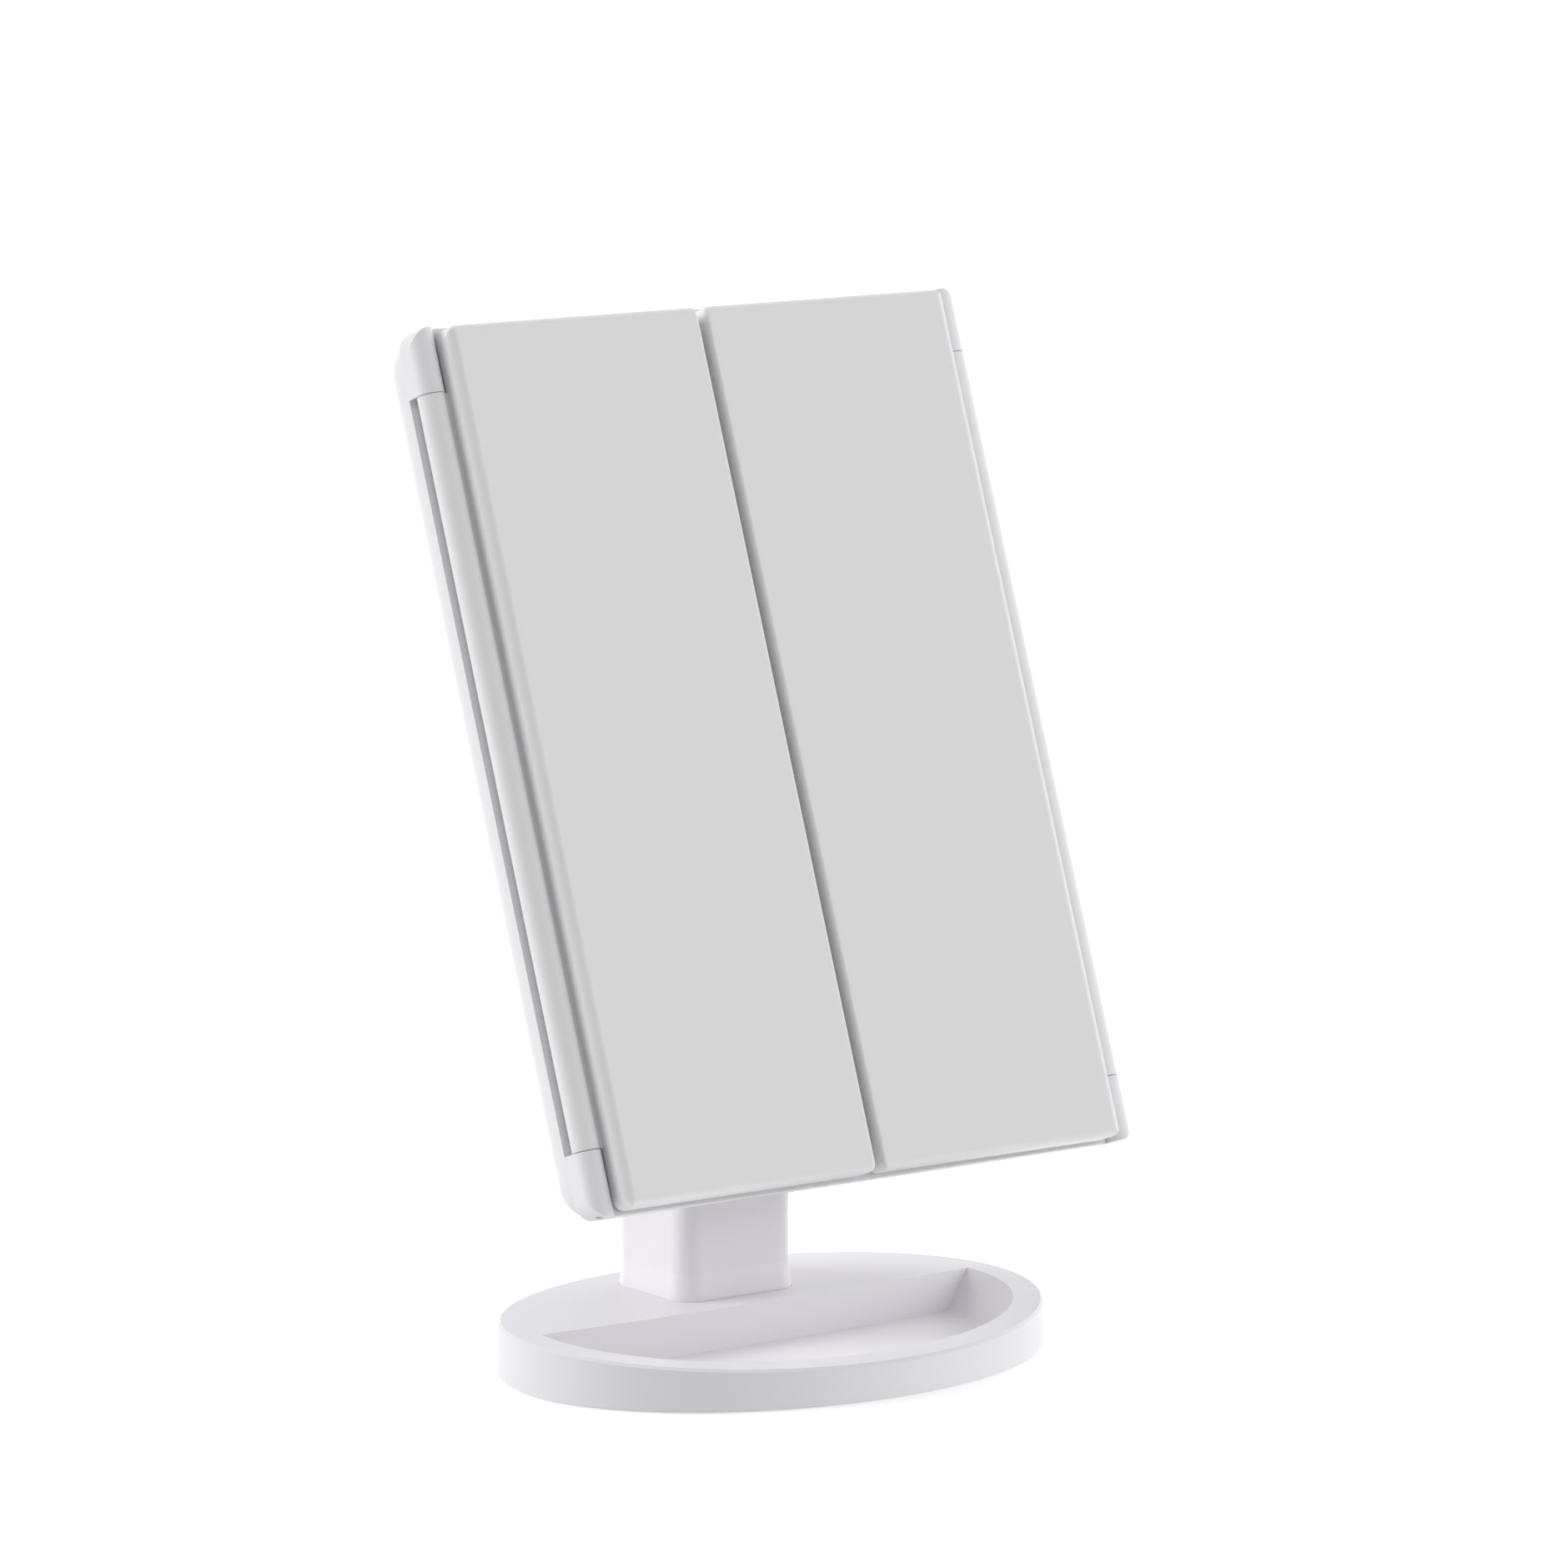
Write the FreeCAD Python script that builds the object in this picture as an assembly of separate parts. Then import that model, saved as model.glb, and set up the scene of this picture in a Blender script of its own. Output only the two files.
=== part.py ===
import FreeCAD, Part
import math
import os

# Trifold vanity mirror on a weighted oval base, millimetres, +Z up, +X right, front towards -Y.
# The origin is the middle of the base, on the table. The head is modelled upright in its own
# coordinates (y = 0 at the front of the closed wings, z = 0 at its lower edge) and then leaned back.

Vec = FreeCAD.Vector
X_AXIS = Vec(1, 0, 0)
Y_AXIS = Vec(0, 1, 0)
Z_AXIS = Vec(0, 0, 1)

# ---------------------------------------------------------------- base
base_width = 160.6
base_depth = 119.0
base_wall = 2.4
base_rim_bevel = 0.7         # broken edge round the top
crown_radius = 1020.0        # the top is one long arc, seen from the side
crown_peak_inset = 22.5      # its crest lies this far in front of the back end
crown_peak_z = 15.3
foot_proud = 0.8             # the rubber feet hold the rim this far off the table
foot_radius = 5.5
foot_recess = 0.7
foot_inset_x = 34.3
foot_inset_y = 23.5

tray_side_border = 8.3       # flat rim beside the tray
tray_front_border = 8.0
tray_wall_run = 9.5          # the tray's wall slopes in by this much down to the floor
tray_floor_z = 4.1
tray_floor_radius = 5.0
tray_to_neck = 9.2           # from the tray's back edge to the neck
tray_back_radius = 1340.0    # that edge bows gently to the front
tray_back_run = 3.0          # and its wall leans forward by this much at the floor
tray_wall = 1.9

plate_thickness = 1.3
plate_gap = 0.2
ballast_height = 6.4
ballast_gap = 1.0
base_screw_angles = (-90.0, -20.0, -160.0, 35.0, 145.0)
base_screw_inset = 9.0
base_screw_length = 6.0
boss_radius = 3.2

# ---------------------------------------------------------------- neck
neck_width = 38.0
neck_depth = 33.0
neck_back_inset = 12.0       # from the back end of the base to the neck
neck_overhang = 8.5          # the tilt axis lies this far in front of the column
neck_corner = 6.0
neck_wall = 2.6
neck_seat_depth = 0.7        # the foot stands in a shallow recess in the crown
neck_seat_gap = 0.15
neck_flare = 0.8
neck_flare_height = 7.0
neck_arm_lean = 45.0         # degrees the arm leans forward from the column
neck_front_bend = 8.0        # radius of the hollow under the arm
neck_back_bend = 20.0        # radius of the bend at the back
knuckle_radius = 11.0
knuckle_bevel = 0.6
neck_pad_thickness = 4.0
neck_cover_width = 26.0
neck_cover_bottom = 22.0
neck_cover_top = 62.0
neck_cover_thickness = 1.4
neck_cover_ledge = 4.5
neck_cover_gap = 0.15
neck_foot_screw_x = 11.0
neck_foot_screw_inset = 8.5
neck_foot_boss_height = 9.0

# ---------------------------------------------------------------- tilt hinge
pivot_z = 76.2               # height of the tilt axis over the table
head_pivot_y = 45.5          # the same axis in head coordinates
head_pivot_z = 35.0
rest_lean = 19.916           # degrees the head leans back at rest
shaft_radius = 3.0
shaft_clearance = 0.06
washer_radius = 9.0
washer_thickness = 0.9
washer_gap = 0.05
cheek_thickness = 6.6
cheek_radius = 12.0
cheek_bottom_z = 12.0
cheek_top_z = 60.0
cheek_bevel = 0.9
cheek_rib_height = 4.0
cheek_rib_width = 1.6
cap_radius = 5.2
cap_thickness = 1.6
cap_bore_depth = 3.2
cap_gap = 0.05
shaft_head_gap = 0.4
nut_height = 2.0
nut_flats = 8.0

# ---------------------------------------------------------------- head
head_width = 180.0
head_height = 239.2
frame_front_y = 8.2
frame_back_y = 13.2
frame_corner = 5.0
housing_back_y = 24.6
housing_wall = 2.4
housing_radius = 9.0         # round its back and down its corners
housing_inset = 1.0          # lower and upper edge of the housing behind the frame
housing_flange = 2.0
seam_gap = 0.2

hinge_y = 8.4
barrel_radius = 3.8
barrel_gap = 0.4             # between a wing's barrel and the pocket in the frame
end_knuckle_length = 17.7
pin_radius = 1.1
pin_recess = 1.0
pin_reach = 10.0
pin_fit = 0.02
pin_running_gap = 0.05

glass_thickness = 1.8
glass_gap = 0.15
frame_side = 24.0            # frame beside the middle mirror
frame_end = 11.0             # frame above and below it
mirror_depth = 0.4           # the glass lies this far under the frame's face
mirror_ledge = 8.0
ledge_bottom_z = 60.0        # below this the frame has a closed web that carries the board

window_inset = 16.0          # from the side of the frame to the window's middle line
window_width = 8.0
window_bottom_margin = 24.0
window_top_margin = 24.2
window_depth = 2.0
window_flange = 1.45
window_flange_thickness = 0.8
window_gap = 0.15
led_board_thickness = 1.0
led_board_step = 0.6
led_board_front_y = 12.0
led_count = 15
led_size = 3.0
led_height = 0.7

bumper_radius = 2.5
bumper_height = 1.0
bumper_x = 9.0

screw_radius = 1.25
screw_gap = 0.05
screw_head_radius = 2.8
screw_head_height = 1.6
screw_bite = 1.0             # what a screw leaves free at the bottom of its hole
housing_screw_margin = 32.0  # from the lower and upper edge of the head
housing_screw_inset = 4.0    # from the edge of the middle mirror
housing_screw_sink = 3.2
housing_boss_split_y = 17.0

# ---------------------------------------------------------------- electrics in the head
cell_radius = 5.25
cell_length = 44.5
cell_nub_radius = 1.9
cell_nub = 0.9
cell_spacing = 0.7
cell_count = 4
bay_raise = 1.4              # the bay's middle over the middle of the head
bay_end_room = 5.35          # for the contacts at each end of a cell
bay_margin = 0.6
bay_floor_y = 11.9
bay_wall = 1.2
cell_lift = 0.1
contact_thickness = 0.4
contact_width = 8.0
contact_pad = 3.0
contact_clearance = 0.1

door_thickness = 1.8
door_margin = 2.4
door_gap = 0.3
door_pull_radius = 6.0       # finger hollow near the upper edge
door_pull_depth = 1.2
door_pull_length = 3.6

board_half_width = 24.0
board_bottom_z = 16.0
board_height = 34.0
board_thickness = 1.2
board_standoff = 1.4
board_corner = 1.0
board_screw_radius = 0.9
board_screw_head_radius = 1.8
board_screw_head_height = 1.0
board_screw_inset = 3.0
chips = ((-2.0, 22.0, 8.0, 8.0, 1.2),     # middle from the board's lower middle, width, height,
         (11.0, 11.0, 6.0, 6.0, 1.6),     # thickness
         (-13.0, 11.5, 4.0, 7.0, 2.4),
         (11.0, 29.5, 12.0, 5.0, 3.0))
touch_z = 30.0
touch_hole_radius = 4.5
touch_strip_width = 6.0
touch_strip_height = 5.0
touch_strip_thickness = 0.3
lead_width = 4.0
lead_thickness = 0.25
lead_lift = 0.4
lead_bottom_z = 38.0

port_x = 45.0
switch_z = 131.0
switch_travel = 3.0
switch_knob_width = 5.0
switch_knob_height = 5.2
switch_knob_proud = 0.6
switch_rib_pitch = 1.4
switch_rib_groove = 0.6
switch_rib_depth = 0.4
switch_stem_width = 3.6
switch_stem_height = 2.4
switch_stem_reach = 1.7
switch_recess_depth = 1.2
switch_recess_margin = 1.2
switch_recess_half_height = 3.6
switch_recess_corner = 1.5
switch_body_width = 12.0
switch_body_height = 7.0
switch_body_depth = 4.8
slot_gap = 0.2

socket_z = 108.0
socket_width = 9.0
socket_height = 3.2
socket_wall = 0.3
socket_depth = 6.8
socket_gap = 0.15
socket_sink = 0.6
socket_back_wall = 1.0
socket_tongue_width = 6.6
socket_tongue_height = 0.7
socket_tongue_short = 1.2
socket_board_post_x = 8.0
socket_board_thickness = 1.2
socket_board_half_height = 5.0

# ---------------------------------------------------------------- wings
wing_inner_x = 1.1           # half the gap between the closed wings
wing_barrel_gap = 0.1        # between the wing's outer edge and its barrel
wing_margin = 0.9            # the wings end this far inside the head, top and bottom
wing_thickness = 7.0
wing_skin = 1.8
wing_rim = 1.8
wing_outer_corner = 3.5
wing_inner_corner = 2.4
wing_outer_edge = 2.7
wing_end_edge = 1.9
wing_inner_edge = 1.2
wing_web_front_y = 6.2
wing_web_back_y = 7.6
wing_frame_gap = 0.1
wing_frame_plate = 1.4
wing_frame_rim = 2.2
wing_face_depth = 0.2
wing_border = 4.0
wing_divider = 6.0
wing_mirror_split = 96.0     # height of the small lower mirror on the left wing

bore_sides = 8               # screw shanks and their holes
head_sides = 12              # screw heads, their seats and the bosses
disc_sides = 24              # feet, bumpers, washers, caps and cells
SMALL = 0.01

# ---------------------------------------------------------------- what follows from these sizes
crown_peak_y = base_depth / 2 - crown_peak_inset
foot_x = base_width / 2 - foot_inset_x
foot_y = base_depth / 2 - foot_inset_y
plate_top_z = tray_floor_z - tray_wall
plate_bottom_z = plate_top_z - plate_thickness

neck_half = neck_width / 2
neck_back_y = base_depth / 2 - neck_back_inset
neck_front_y = neck_back_y - neck_depth
neck_seat_z = crown_peak_z - neck_seat_depth
neck_pad_bottom_z = neck_seat_z - neck_pad_thickness
neck_foot_top_z = neck_seat_z + neck_foot_boss_height

tray_rim_half_width = base_width / 2 - tray_side_border
tray_rim_half_depth = base_depth / 2 - tray_front_border
tray_floor_half_width = tray_rim_half_width - tray_wall_run
tray_floor_half_depth = tray_rim_half_depth - tray_wall_run
tray_back_y = neck_front_y - tray_to_neck

pivot = Vec(0, neck_front_y - neck_overhang, pivot_z)
head_pivot = Vec(0, head_pivot_y, head_pivot_z)
cheek_inner_x = neck_half + washer_thickness + 2 * washer_gap
cheek_outer_x = cheek_inner_x + cheek_thickness
cap_seat_x = cheek_outer_x - cap_bore_depth

half_head = head_width / 2
hinge_x = half_head - barrel_radius
pocket_x = hinge_x - barrel_radius - barrel_gap
barrel_bottom_z = end_knuckle_length + seam_gap
barrel_top_z = head_height - end_knuckle_length - seam_gap
mirror_half_width = half_head - frame_side
mirror_bottom_z = frame_end
mirror_top_z = head_height - frame_end
glass_front_y = frame_front_y + mirror_depth
glass_back_y = glass_front_y + glass_thickness
window_x = half_head - window_inset
window_bottom_z = window_bottom_margin
window_top_z = head_height - window_top_margin
housing_inner_y = housing_back_y - housing_wall
housing_screw_x = mirror_half_width - housing_screw_inset
housing_screw_rows = (housing_screw_margin, head_height / 2, head_height - housing_screw_margin)
housing_screw_seat_y = housing_back_y - housing_screw_sink

cell_pitch = 2 * cell_radius + cell_spacing
cell_span = cell_length / 2
cell_axis_y = bay_floor_y + cell_lift + cell_radius
bay_half_width = cell_span + bay_end_room
bay_half_height = cell_pitch * cell_count / 2 + bay_margin
bay_centre_z = head_height / 2 + bay_raise
bay_bottom_z = bay_centre_z - bay_half_height
bay_top_z = bay_centre_z + bay_half_height
door_bottom_z = bay_bottom_z - door_margin
door_top_z = bay_top_z + door_margin
door_half_width = bay_half_width + door_margin
door_seat_y = housing_back_y - door_thickness

board_top_z = board_bottom_z + board_height
board_front_y = frame_back_y + board_standoff
board_back_y = board_front_y + board_thickness
socket_front_y = housing_back_y - socket_sink - socket_depth

wing_outer_x = hinge_x - barrel_radius - wing_barrel_gap
wing_bottom_z = wing_margin
wing_top_z = head_height - wing_margin
glass_seat_y = wing_thickness - wing_face_depth - glass_thickness
frame_inner_x = wing_inner_x + wing_rim + wing_frame_gap
frame_outer_x = wing_outer_x - wing_rim - wing_frame_gap
frame_low_z = wing_bottom_z + wing_rim + wing_frame_gap
frame_high_z = wing_top_z - wing_rim - wing_frame_gap


# ================================================================ shape helpers
def box(x0, x1, y0, y1, z0, z1):
    return Part.makeBox(x1 - x0, y1 - y0, z1 - z0, Vec(x0, y0, z0))


def rod(radius, start, end):
    along = end - start
    return Part.makeCylinder(radius, along.Length, start, along)


def outline(corners):
    """Closed wire through corner points that all lie in one plane."""
    return Part.makePolygon(list(corners) + [corners[0]])


def slab(wire, direction):
    """Solid between a flat wire and the same wire moved by direction."""
    return Part.Face(wire).extrude(direction)


def polygon_rod(radius, start, end, sides):
    """Many-sided bar inside a circle of this radius, for small hardware."""
    along = end - start
    turn = FreeCAD.Rotation(Z_AXIS, along)
    corners = []
    for index in range(sides):
        angle = 2 * math.pi * index / sides
        corners.append(start + turn.multVec(Vec(radius * math.cos(angle), radius * math.sin(angle), 0)))
    return slab(outline(corners), along)


def screw_hole(start, end, radius=screw_radius):
    return polygon_rod(radius + screw_gap, start, end, bore_sides)


def boss(start, end, radius=boss_radius):
    return polygon_rod(radius, start, end, head_sides)


def rounded_slab(x0, x1, y0, y1, z0, z1, radius):
    """Block whose four edges along Y are rounded."""
    block = box(x0, x1, y0, y1, z0, z1)
    edges = [e for e in block.Edges if abs(e.tangentAt(e.FirstParameter).y) > 0.9]
    return block.makeFillet(radius, edges)


def rounded_post(x0, x1, y0, y1, z0, z1, radius):
    """Block whose four upright edges are rounded."""
    block = box(x0, x1, y0, y1, z0, z1)
    edges = [e for e in block.Edges if abs(e.tangentAt(e.FirstParameter).z) > 0.9]
    return block.makeFillet(radius, edges)


def fused(pieces):
    """One solid from pieces that touch or overlap."""
    whole = pieces[0].multiFuse(pieces[1:])
    return whole.removeSplitter()


def mirrored(shape):
    return shape.mirror(Vec(0, 0, 0), X_AXIS)


def screw(head_base, direction, length, head_radius=screw_head_radius, head_height=screw_head_height,
          radius=screw_radius):
    """Pan-head screw: the shank runs from head_base along direction, the head lies behind it."""
    shank = polygon_rod(radius, head_base, head_base + direction * length, bore_sides)
    head = polygon_rod(head_radius, head_base, head_base - direction * head_height, head_sides)
    return shank.fuse(head).removeSplitter()


def in_head(shape):
    """Lean a piece from head coordinates back about the tilt pivot."""
    placed = shape.copy()
    placed.translate(-head_pivot)
    placed.rotate(Vec(0, 0, 0), X_AXIS, -rest_lean)
    placed.translate(pivot)
    return placed


def save(name, pieces):
    """Write one node. A group of like pieces is kept as separate solids."""
    shape = Part.makeCompound(pieces) if isinstance(pieces, list) else pieces
    shape.exportStep("parts/" + name + ".step")


# ================================================================ base
def crown_z(y):
    """Height of the base's top surface at a depth y."""
    return crown_peak_z - crown_radius + math.sqrt(crown_radius ** 2 - (y - crown_peak_y) ** 2)


def crown_solid(lowered=0.0):
    """Everything under the crowned top, as a long cylinder across the base."""
    start = Vec(-base_width, crown_peak_y, crown_peak_z - crown_radius)
    return Part.makeCylinder(crown_radius - lowered, 2 * base_width, start, X_AXIS)


def ellipse_wire(half_width, half_depth, z):
    return Part.Wire(Part.Ellipse(Vec(0, 0, z), half_width, half_depth).toShape())


def ellipse_prism(half_width, half_depth, z0, z1):
    return slab(ellipse_wire(half_width, half_depth, z0), Vec(0, 0, z1 - z0))


def tray_solid(grow, floor_radius):
    """The D-shaped tray as a solid, grown on all sides for the wall around it."""
    floor_z = tray_floor_z - grow
    top_z = crown_peak_z + base_wall
    side_rate = tray_wall_run / (crown_z(0) - tray_floor_z)
    front_rate = tray_wall_run / (crown_z(-tray_rim_half_depth) - tray_floor_z)
    rise = top_z - tray_floor_z
    floor_wire = ellipse_wire(tray_floor_half_width + grow, tray_floor_half_depth + grow, floor_z)
    top_wire = ellipse_wire(tray_floor_half_width + side_rate * rise + grow,
                            tray_floor_half_depth + front_rate * rise + grow, top_z)
    bowl = Part.makeLoft([floor_wire, top_wire], True, True)
    if floor_radius > 0:
        bowl = bowl.makeFillet(floor_radius, [e for e in bowl.Edges if e.BoundBox.ZMax < floor_z + SMALL])
    platform_centre = Vec(0, tray_back_y + tray_back_radius, floor_z)
    platform = Part.makeCone(tray_back_radius + tray_back_run - grow, tray_back_radius - grow,
                             top_z - floor_z + SMALL, platform_centre, Z_AXIS)
    return bowl.cut(platform)


def base_screw_places():
    half_width = base_width / 2 - base_screw_inset
    half_depth = base_depth / 2 - base_screw_inset
    for angle in base_screw_angles:
        turn = math.radians(angle)
        yield Vec(half_width * math.cos(turn), half_depth * math.sin(turn), 0)


def neck_screw_places():
    for x in (-neck_foot_screw_x, neck_foot_screw_x):
        for y in (neck_front_y + neck_foot_screw_inset, neck_back_y - neck_foot_screw_inset):
            yield Vec(x, y, 0)


def base_shell():
    rise_z = crown_peak_z + base_wall
    body = ellipse_prism(base_width / 2, base_depth / 2, foot_proud, rise_z)
    body = body.common(crown_solid())
    rim = [e for e in body.Edges if e.BoundBox.ZMin > foot_proud + base_wall]
    body = body.makeChamfer(base_rim_bevel, rim)
    hollow = ellipse_prism(base_width / 2 - base_wall, base_depth / 2 - base_wall, 0, rise_z)
    hollow = hollow.common(crown_solid(base_wall)).cut(tray_solid(tray_wall, 0.0))
    pad = rounded_post(-neck_half - base_wall, neck_half + base_wall, neck_front_y - base_wall,
                       neck_back_y + base_wall, neck_pad_bottom_z, crown_peak_z, neck_corner)
    hollow = hollow.cut(pad)
    for place in base_screw_places():
        hollow = hollow.cut(boss(place + Vec(0, 0, plate_top_z), place + Vec(0, 0, crown_peak_z)))
    shell = body.cut(hollow).cut(tray_solid(0.0, tray_floor_radius))
    seat = neck_outline_post(neck_flare + neck_seat_gap, neck_seat_z, crown_peak_z + 1)
    shell = shell.cut(seat)
    for place in neck_screw_places():
        shell = shell.cut(screw_hole(place + Vec(0, 0, neck_pad_bottom_z - 1),
                                     place + Vec(0, 0, neck_seat_z + 1)))
    for place in base_screw_places():
        shell = shell.cut(screw_hole(place + Vec(0, 0, plate_top_z - 1),
                                     place + Vec(0, 0, plate_top_z + base_screw_length)))
    return shell


def foot_places():
    for x in (-foot_x, foot_x):
        for y in (-foot_y, foot_y):
            yield Vec(x, y, 0)


def base_feet():
    top = Vec(0, 0, plate_bottom_z + foot_recess)
    return [polygon_rod(foot_radius, place, place + top, disc_sides) for place in foot_places()]


def base_bottom_plate():
    inset = base_wall + plate_gap
    plate = ellipse_prism(base_width / 2 - inset, base_depth / 2 - inset, plate_bottom_z, plate_top_z)
    for place in foot_places():
        plate = plate.cut(polygon_rod(foot_radius + plate_gap, place,
                                      place + Vec(0, 0, plate_bottom_z + foot_recess), disc_sides))
    for place in base_screw_places():
        head_z = plate_bottom_z + plate_thickness / 2
        plate = plate.cut(screw_hole(place, place + Vec(0, 0, plate_top_z + 1)))
        plate = plate.cut(boss(place, place + Vec(0, 0, head_z), screw_head_radius + plate_gap))
    return plate


def base_screws():
    head_z = plate_bottom_z + plate_thickness / 2
    return [screw(place + Vec(0, 0, head_z), Z_AXIS, base_screw_length,
                  head_height=plate_thickness / 2 - SMALL) for place in base_screw_places()]


def base_weight():
    inset = base_wall + ballast_gap
    top_z = plate_top_z + ballast_height
    weight = ellipse_prism(base_width / 2 - inset, base_depth / 2 - inset, plate_top_z, top_z)
    front = tray_back_y + tray_wall + 2 * ballast_gap
    weight = weight.cut(box(-base_width, base_width, -base_depth, front, 0, crown_peak_z))
    for place in base_screw_places():
        weight = weight.cut(boss(place, place + Vec(0, 0, crown_peak_z), boss_radius + ballast_gap))
    return weight


# ================================================================ neck
def rounded_section(front, back, half_width, corner):
    """Rounded rectangle from a front point to a back point, as wide as the part."""
    along = (back - front).normalize()
    middle = (front + back) / 2
    half_length = (back - front).Length / 2
    near_x, near_y = half_width - corner, half_length - corner
    bulge = corner * math.sqrt(0.5)
    corners = [((near_x, -half_length), (near_x + bulge, -near_y - bulge), (half_width, -near_y)),
               ((half_width, near_y), (near_x + bulge, near_y + bulge), (near_x, half_length)),
               ((-near_x, half_length), (-near_x - bulge, near_y + bulge), (-half_width, near_y)),
               ((-half_width, -near_y), (-near_x - bulge, -near_y - bulge), (-near_x, -half_length))]
    points = [[middle + X_AXIS * across_x + along * depth for across_x, depth in corner_points]
              for corner_points in corners]
    edges = []
    for index, (start, bend, end) in enumerate(points):
        edges.append(Part.Arc(start, bend, end).toShape())
        edges.append(Part.makeLine(end, points[(index + 1) % len(points)][0]))
    return Part.Wire(edges)


def neck_ring(grow, z):
    """The column's plan outline at a height."""
    return rounded_section(Vec(0, neck_front_y - grow, z), Vec(0, neck_back_y + grow, z),
                           neck_half + grow, neck_corner + grow)


def neck_outline_post(grow, z0, z1):
    return slab(neck_ring(grow, z0), Vec(0, 0, z1 - z0))


def neck_body(inset, break_edges):
    """Column with an arm that leans forward to the knuckle: a side profile given width, then its long
    edges broken; inset gives its hollow."""
    lean = math.radians(neck_arm_lean)
    outward = Vec(0, math.cos(lean), math.sin(lean))
    halfway = Vec(0, math.cos(lean / 2), math.sin(lean / 2))
    # Both faces of the arm touch the knuckle's circle, which sets how high the two bends start.
    front_lift = (neck_front_bend + knuckle_radius
                  - (neck_front_bend - neck_overhang) * math.cos(lean)) / math.sin(lean)
    back_lift = (neck_back_bend - knuckle_radius
                 - (neck_back_bend - neck_overhang - neck_depth) * math.cos(lean)) / math.sin(lean)
    front_centre = Vec(0, neck_front_y - neck_front_bend, pivot.z - front_lift)
    back_centre = Vec(0, neck_back_y - neck_back_bend, pivot.z - back_lift)
    front_radius = neck_front_bend + inset
    back_radius = neck_back_bend - inset

    foot_z = neck_seat_z + inset
    front_foot = Vec(0, neck_front_y + inset, foot_z)
    back_foot = Vec(0, neck_back_y - inset, foot_z)
    front_start = front_centre + Y_AXIS * front_radius
    front_end = front_centre + outward * front_radius
    back_start = back_centre + Y_AXIS * back_radius
    back_end = back_centre + outward * back_radius
    nose_low = pivot - outward * (knuckle_radius - inset)
    nose_high = pivot + outward * (knuckle_radius - inset)
    wire = Part.Wire([
        Part.makeLine(back_foot, front_foot),
        Part.makeLine(front_foot, front_start),
        Part.Arc(front_start, front_centre + halfway * front_radius, front_end).toShape(),
        Part.makeLine(front_end, nose_low),
        Part.makeLine(nose_low, nose_high),
        Part.makeLine(nose_high, back_end),
        Part.Arc(back_end, back_centre + halfway * back_radius, back_start).toShape(),
        Part.makeLine(back_start, back_foot)])
    wire.translate(Vec(-neck_half + inset, 0, 0))
    body = slab(wire, Vec(neck_width - 2 * inset, 0, 0))
    long_edges = []
    for edge in body.Edges:
        middle = edge.valueAt((edge.FirstParameter + edge.LastParameter) / 2)
        along_side = edge.BoundBox.XLength < SMALL
        on_foot = middle.z < foot_z + SMALL
        on_nose = middle.distanceToPoint(pivot + Vec(middle.x, 0, 0)) < SMALL
        if along_side and not on_foot and not on_nose:
            long_edges.append(edge)
    return break_edges(body, long_edges)


def rounded_neck(body, edges):
    return body.makeFillet(neck_corner, edges)


def bevelled_hollow(body, edges):
    return body.makeChamfer((neck_corner - neck_wall) / 2, edges)


def across(radius, half_length, centre=pivot):
    """Round bar across the part, on the tilt axis."""
    return rod(radius, centre - X_AXIS * half_length, centre + X_AXIS * half_length)


def cover_strip(grow):
    """The part of the neck's back skin that the rear cover takes up."""
    half = neck_cover_width / 2 + grow
    skin = neck_body(0.0, rounded_neck)
    ahead = skin.copy()
    ahead.translate(Vec(0, -neck_cover_thickness, 0))
    band = box(-half, half, pivot.y + knuckle_radius, neck_back_y + 1, neck_cover_bottom - grow,
               neck_cover_top + grow)
    return skin.common(band).cut(ahead)


def cover_screw_place():
    return Vec(0, neck_back_y - neck_cover_thickness, neck_cover_bottom + neck_cover_ledge / 2 + 1)


def neck_shell():
    knuckle = across(knuckle_radius, neck_half)
    knuckle = knuckle.makeChamfer(knuckle_bevel, [e for e in knuckle.Edges if e.BoundBox.XLength < SMALL])
    flare_z = neck_seat_z + neck_flare
    foot = neck_outline_post(neck_flare, neck_seat_z, flare_z)
    flare = Part.makeLoft([neck_ring(neck_flare, flare_z), neck_ring(0.0, flare_z + neck_flare_height)],
                          True, True)
    outer = fused([neck_body(0.0, rounded_neck), knuckle, foot, flare])

    hollow = neck_body(neck_wall, bevelled_hollow)
    hollow = hollow.cut(across(knuckle_radius + neck_wall / 2, neck_width))
    for place in neck_screw_places():
        hollow = hollow.cut(boss(place + Vec(0, 0, neck_seat_z), place + Vec(0, 0, neck_foot_top_z)))
    place = cover_screw_place()
    hollow = hollow.cut(boss(place, place - Y_AXIS * neck_foot_boss_height))
    shell = outer.cut(hollow)

    shell = shell.cut(cover_strip(neck_cover_gap))
    half_opening = neck_cover_width / 2 - neck_cover_ledge
    opening = box(-half_opening, half_opening, pivot.y + 2 * knuckle_radius, neck_back_y + 1,
                  neck_cover_bottom + 2 * neck_cover_ledge, neck_cover_top - neck_cover_ledge)
    shell = shell.cut(opening)
    shell = shell.cut(screw_hole(place + Y_AXIS, place - Y_AXIS * (neck_foot_boss_height - screw_bite)))
    for place in neck_screw_places():
        shell = shell.cut(screw_hole(place + Vec(0, 0, neck_seat_z - 1),
                                     place + Vec(0, 0, neck_foot_top_z - screw_bite)))
    return shell.cut(across(shaft_radius + shaft_clearance, neck_width))


def neck_rear_cover():
    place = cover_screw_place()
    cover = cover_strip(0.0)
    sink = boss(place + Y_AXIS * (neck_cover_thickness / 2), place + Y_AXIS * neck_wall,
                screw_head_radius + screw_gap)
    return cover.cut(screw_hole(place - Y_AXIS, place + Y_AXIS * neck_wall)).cut(sink)


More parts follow.
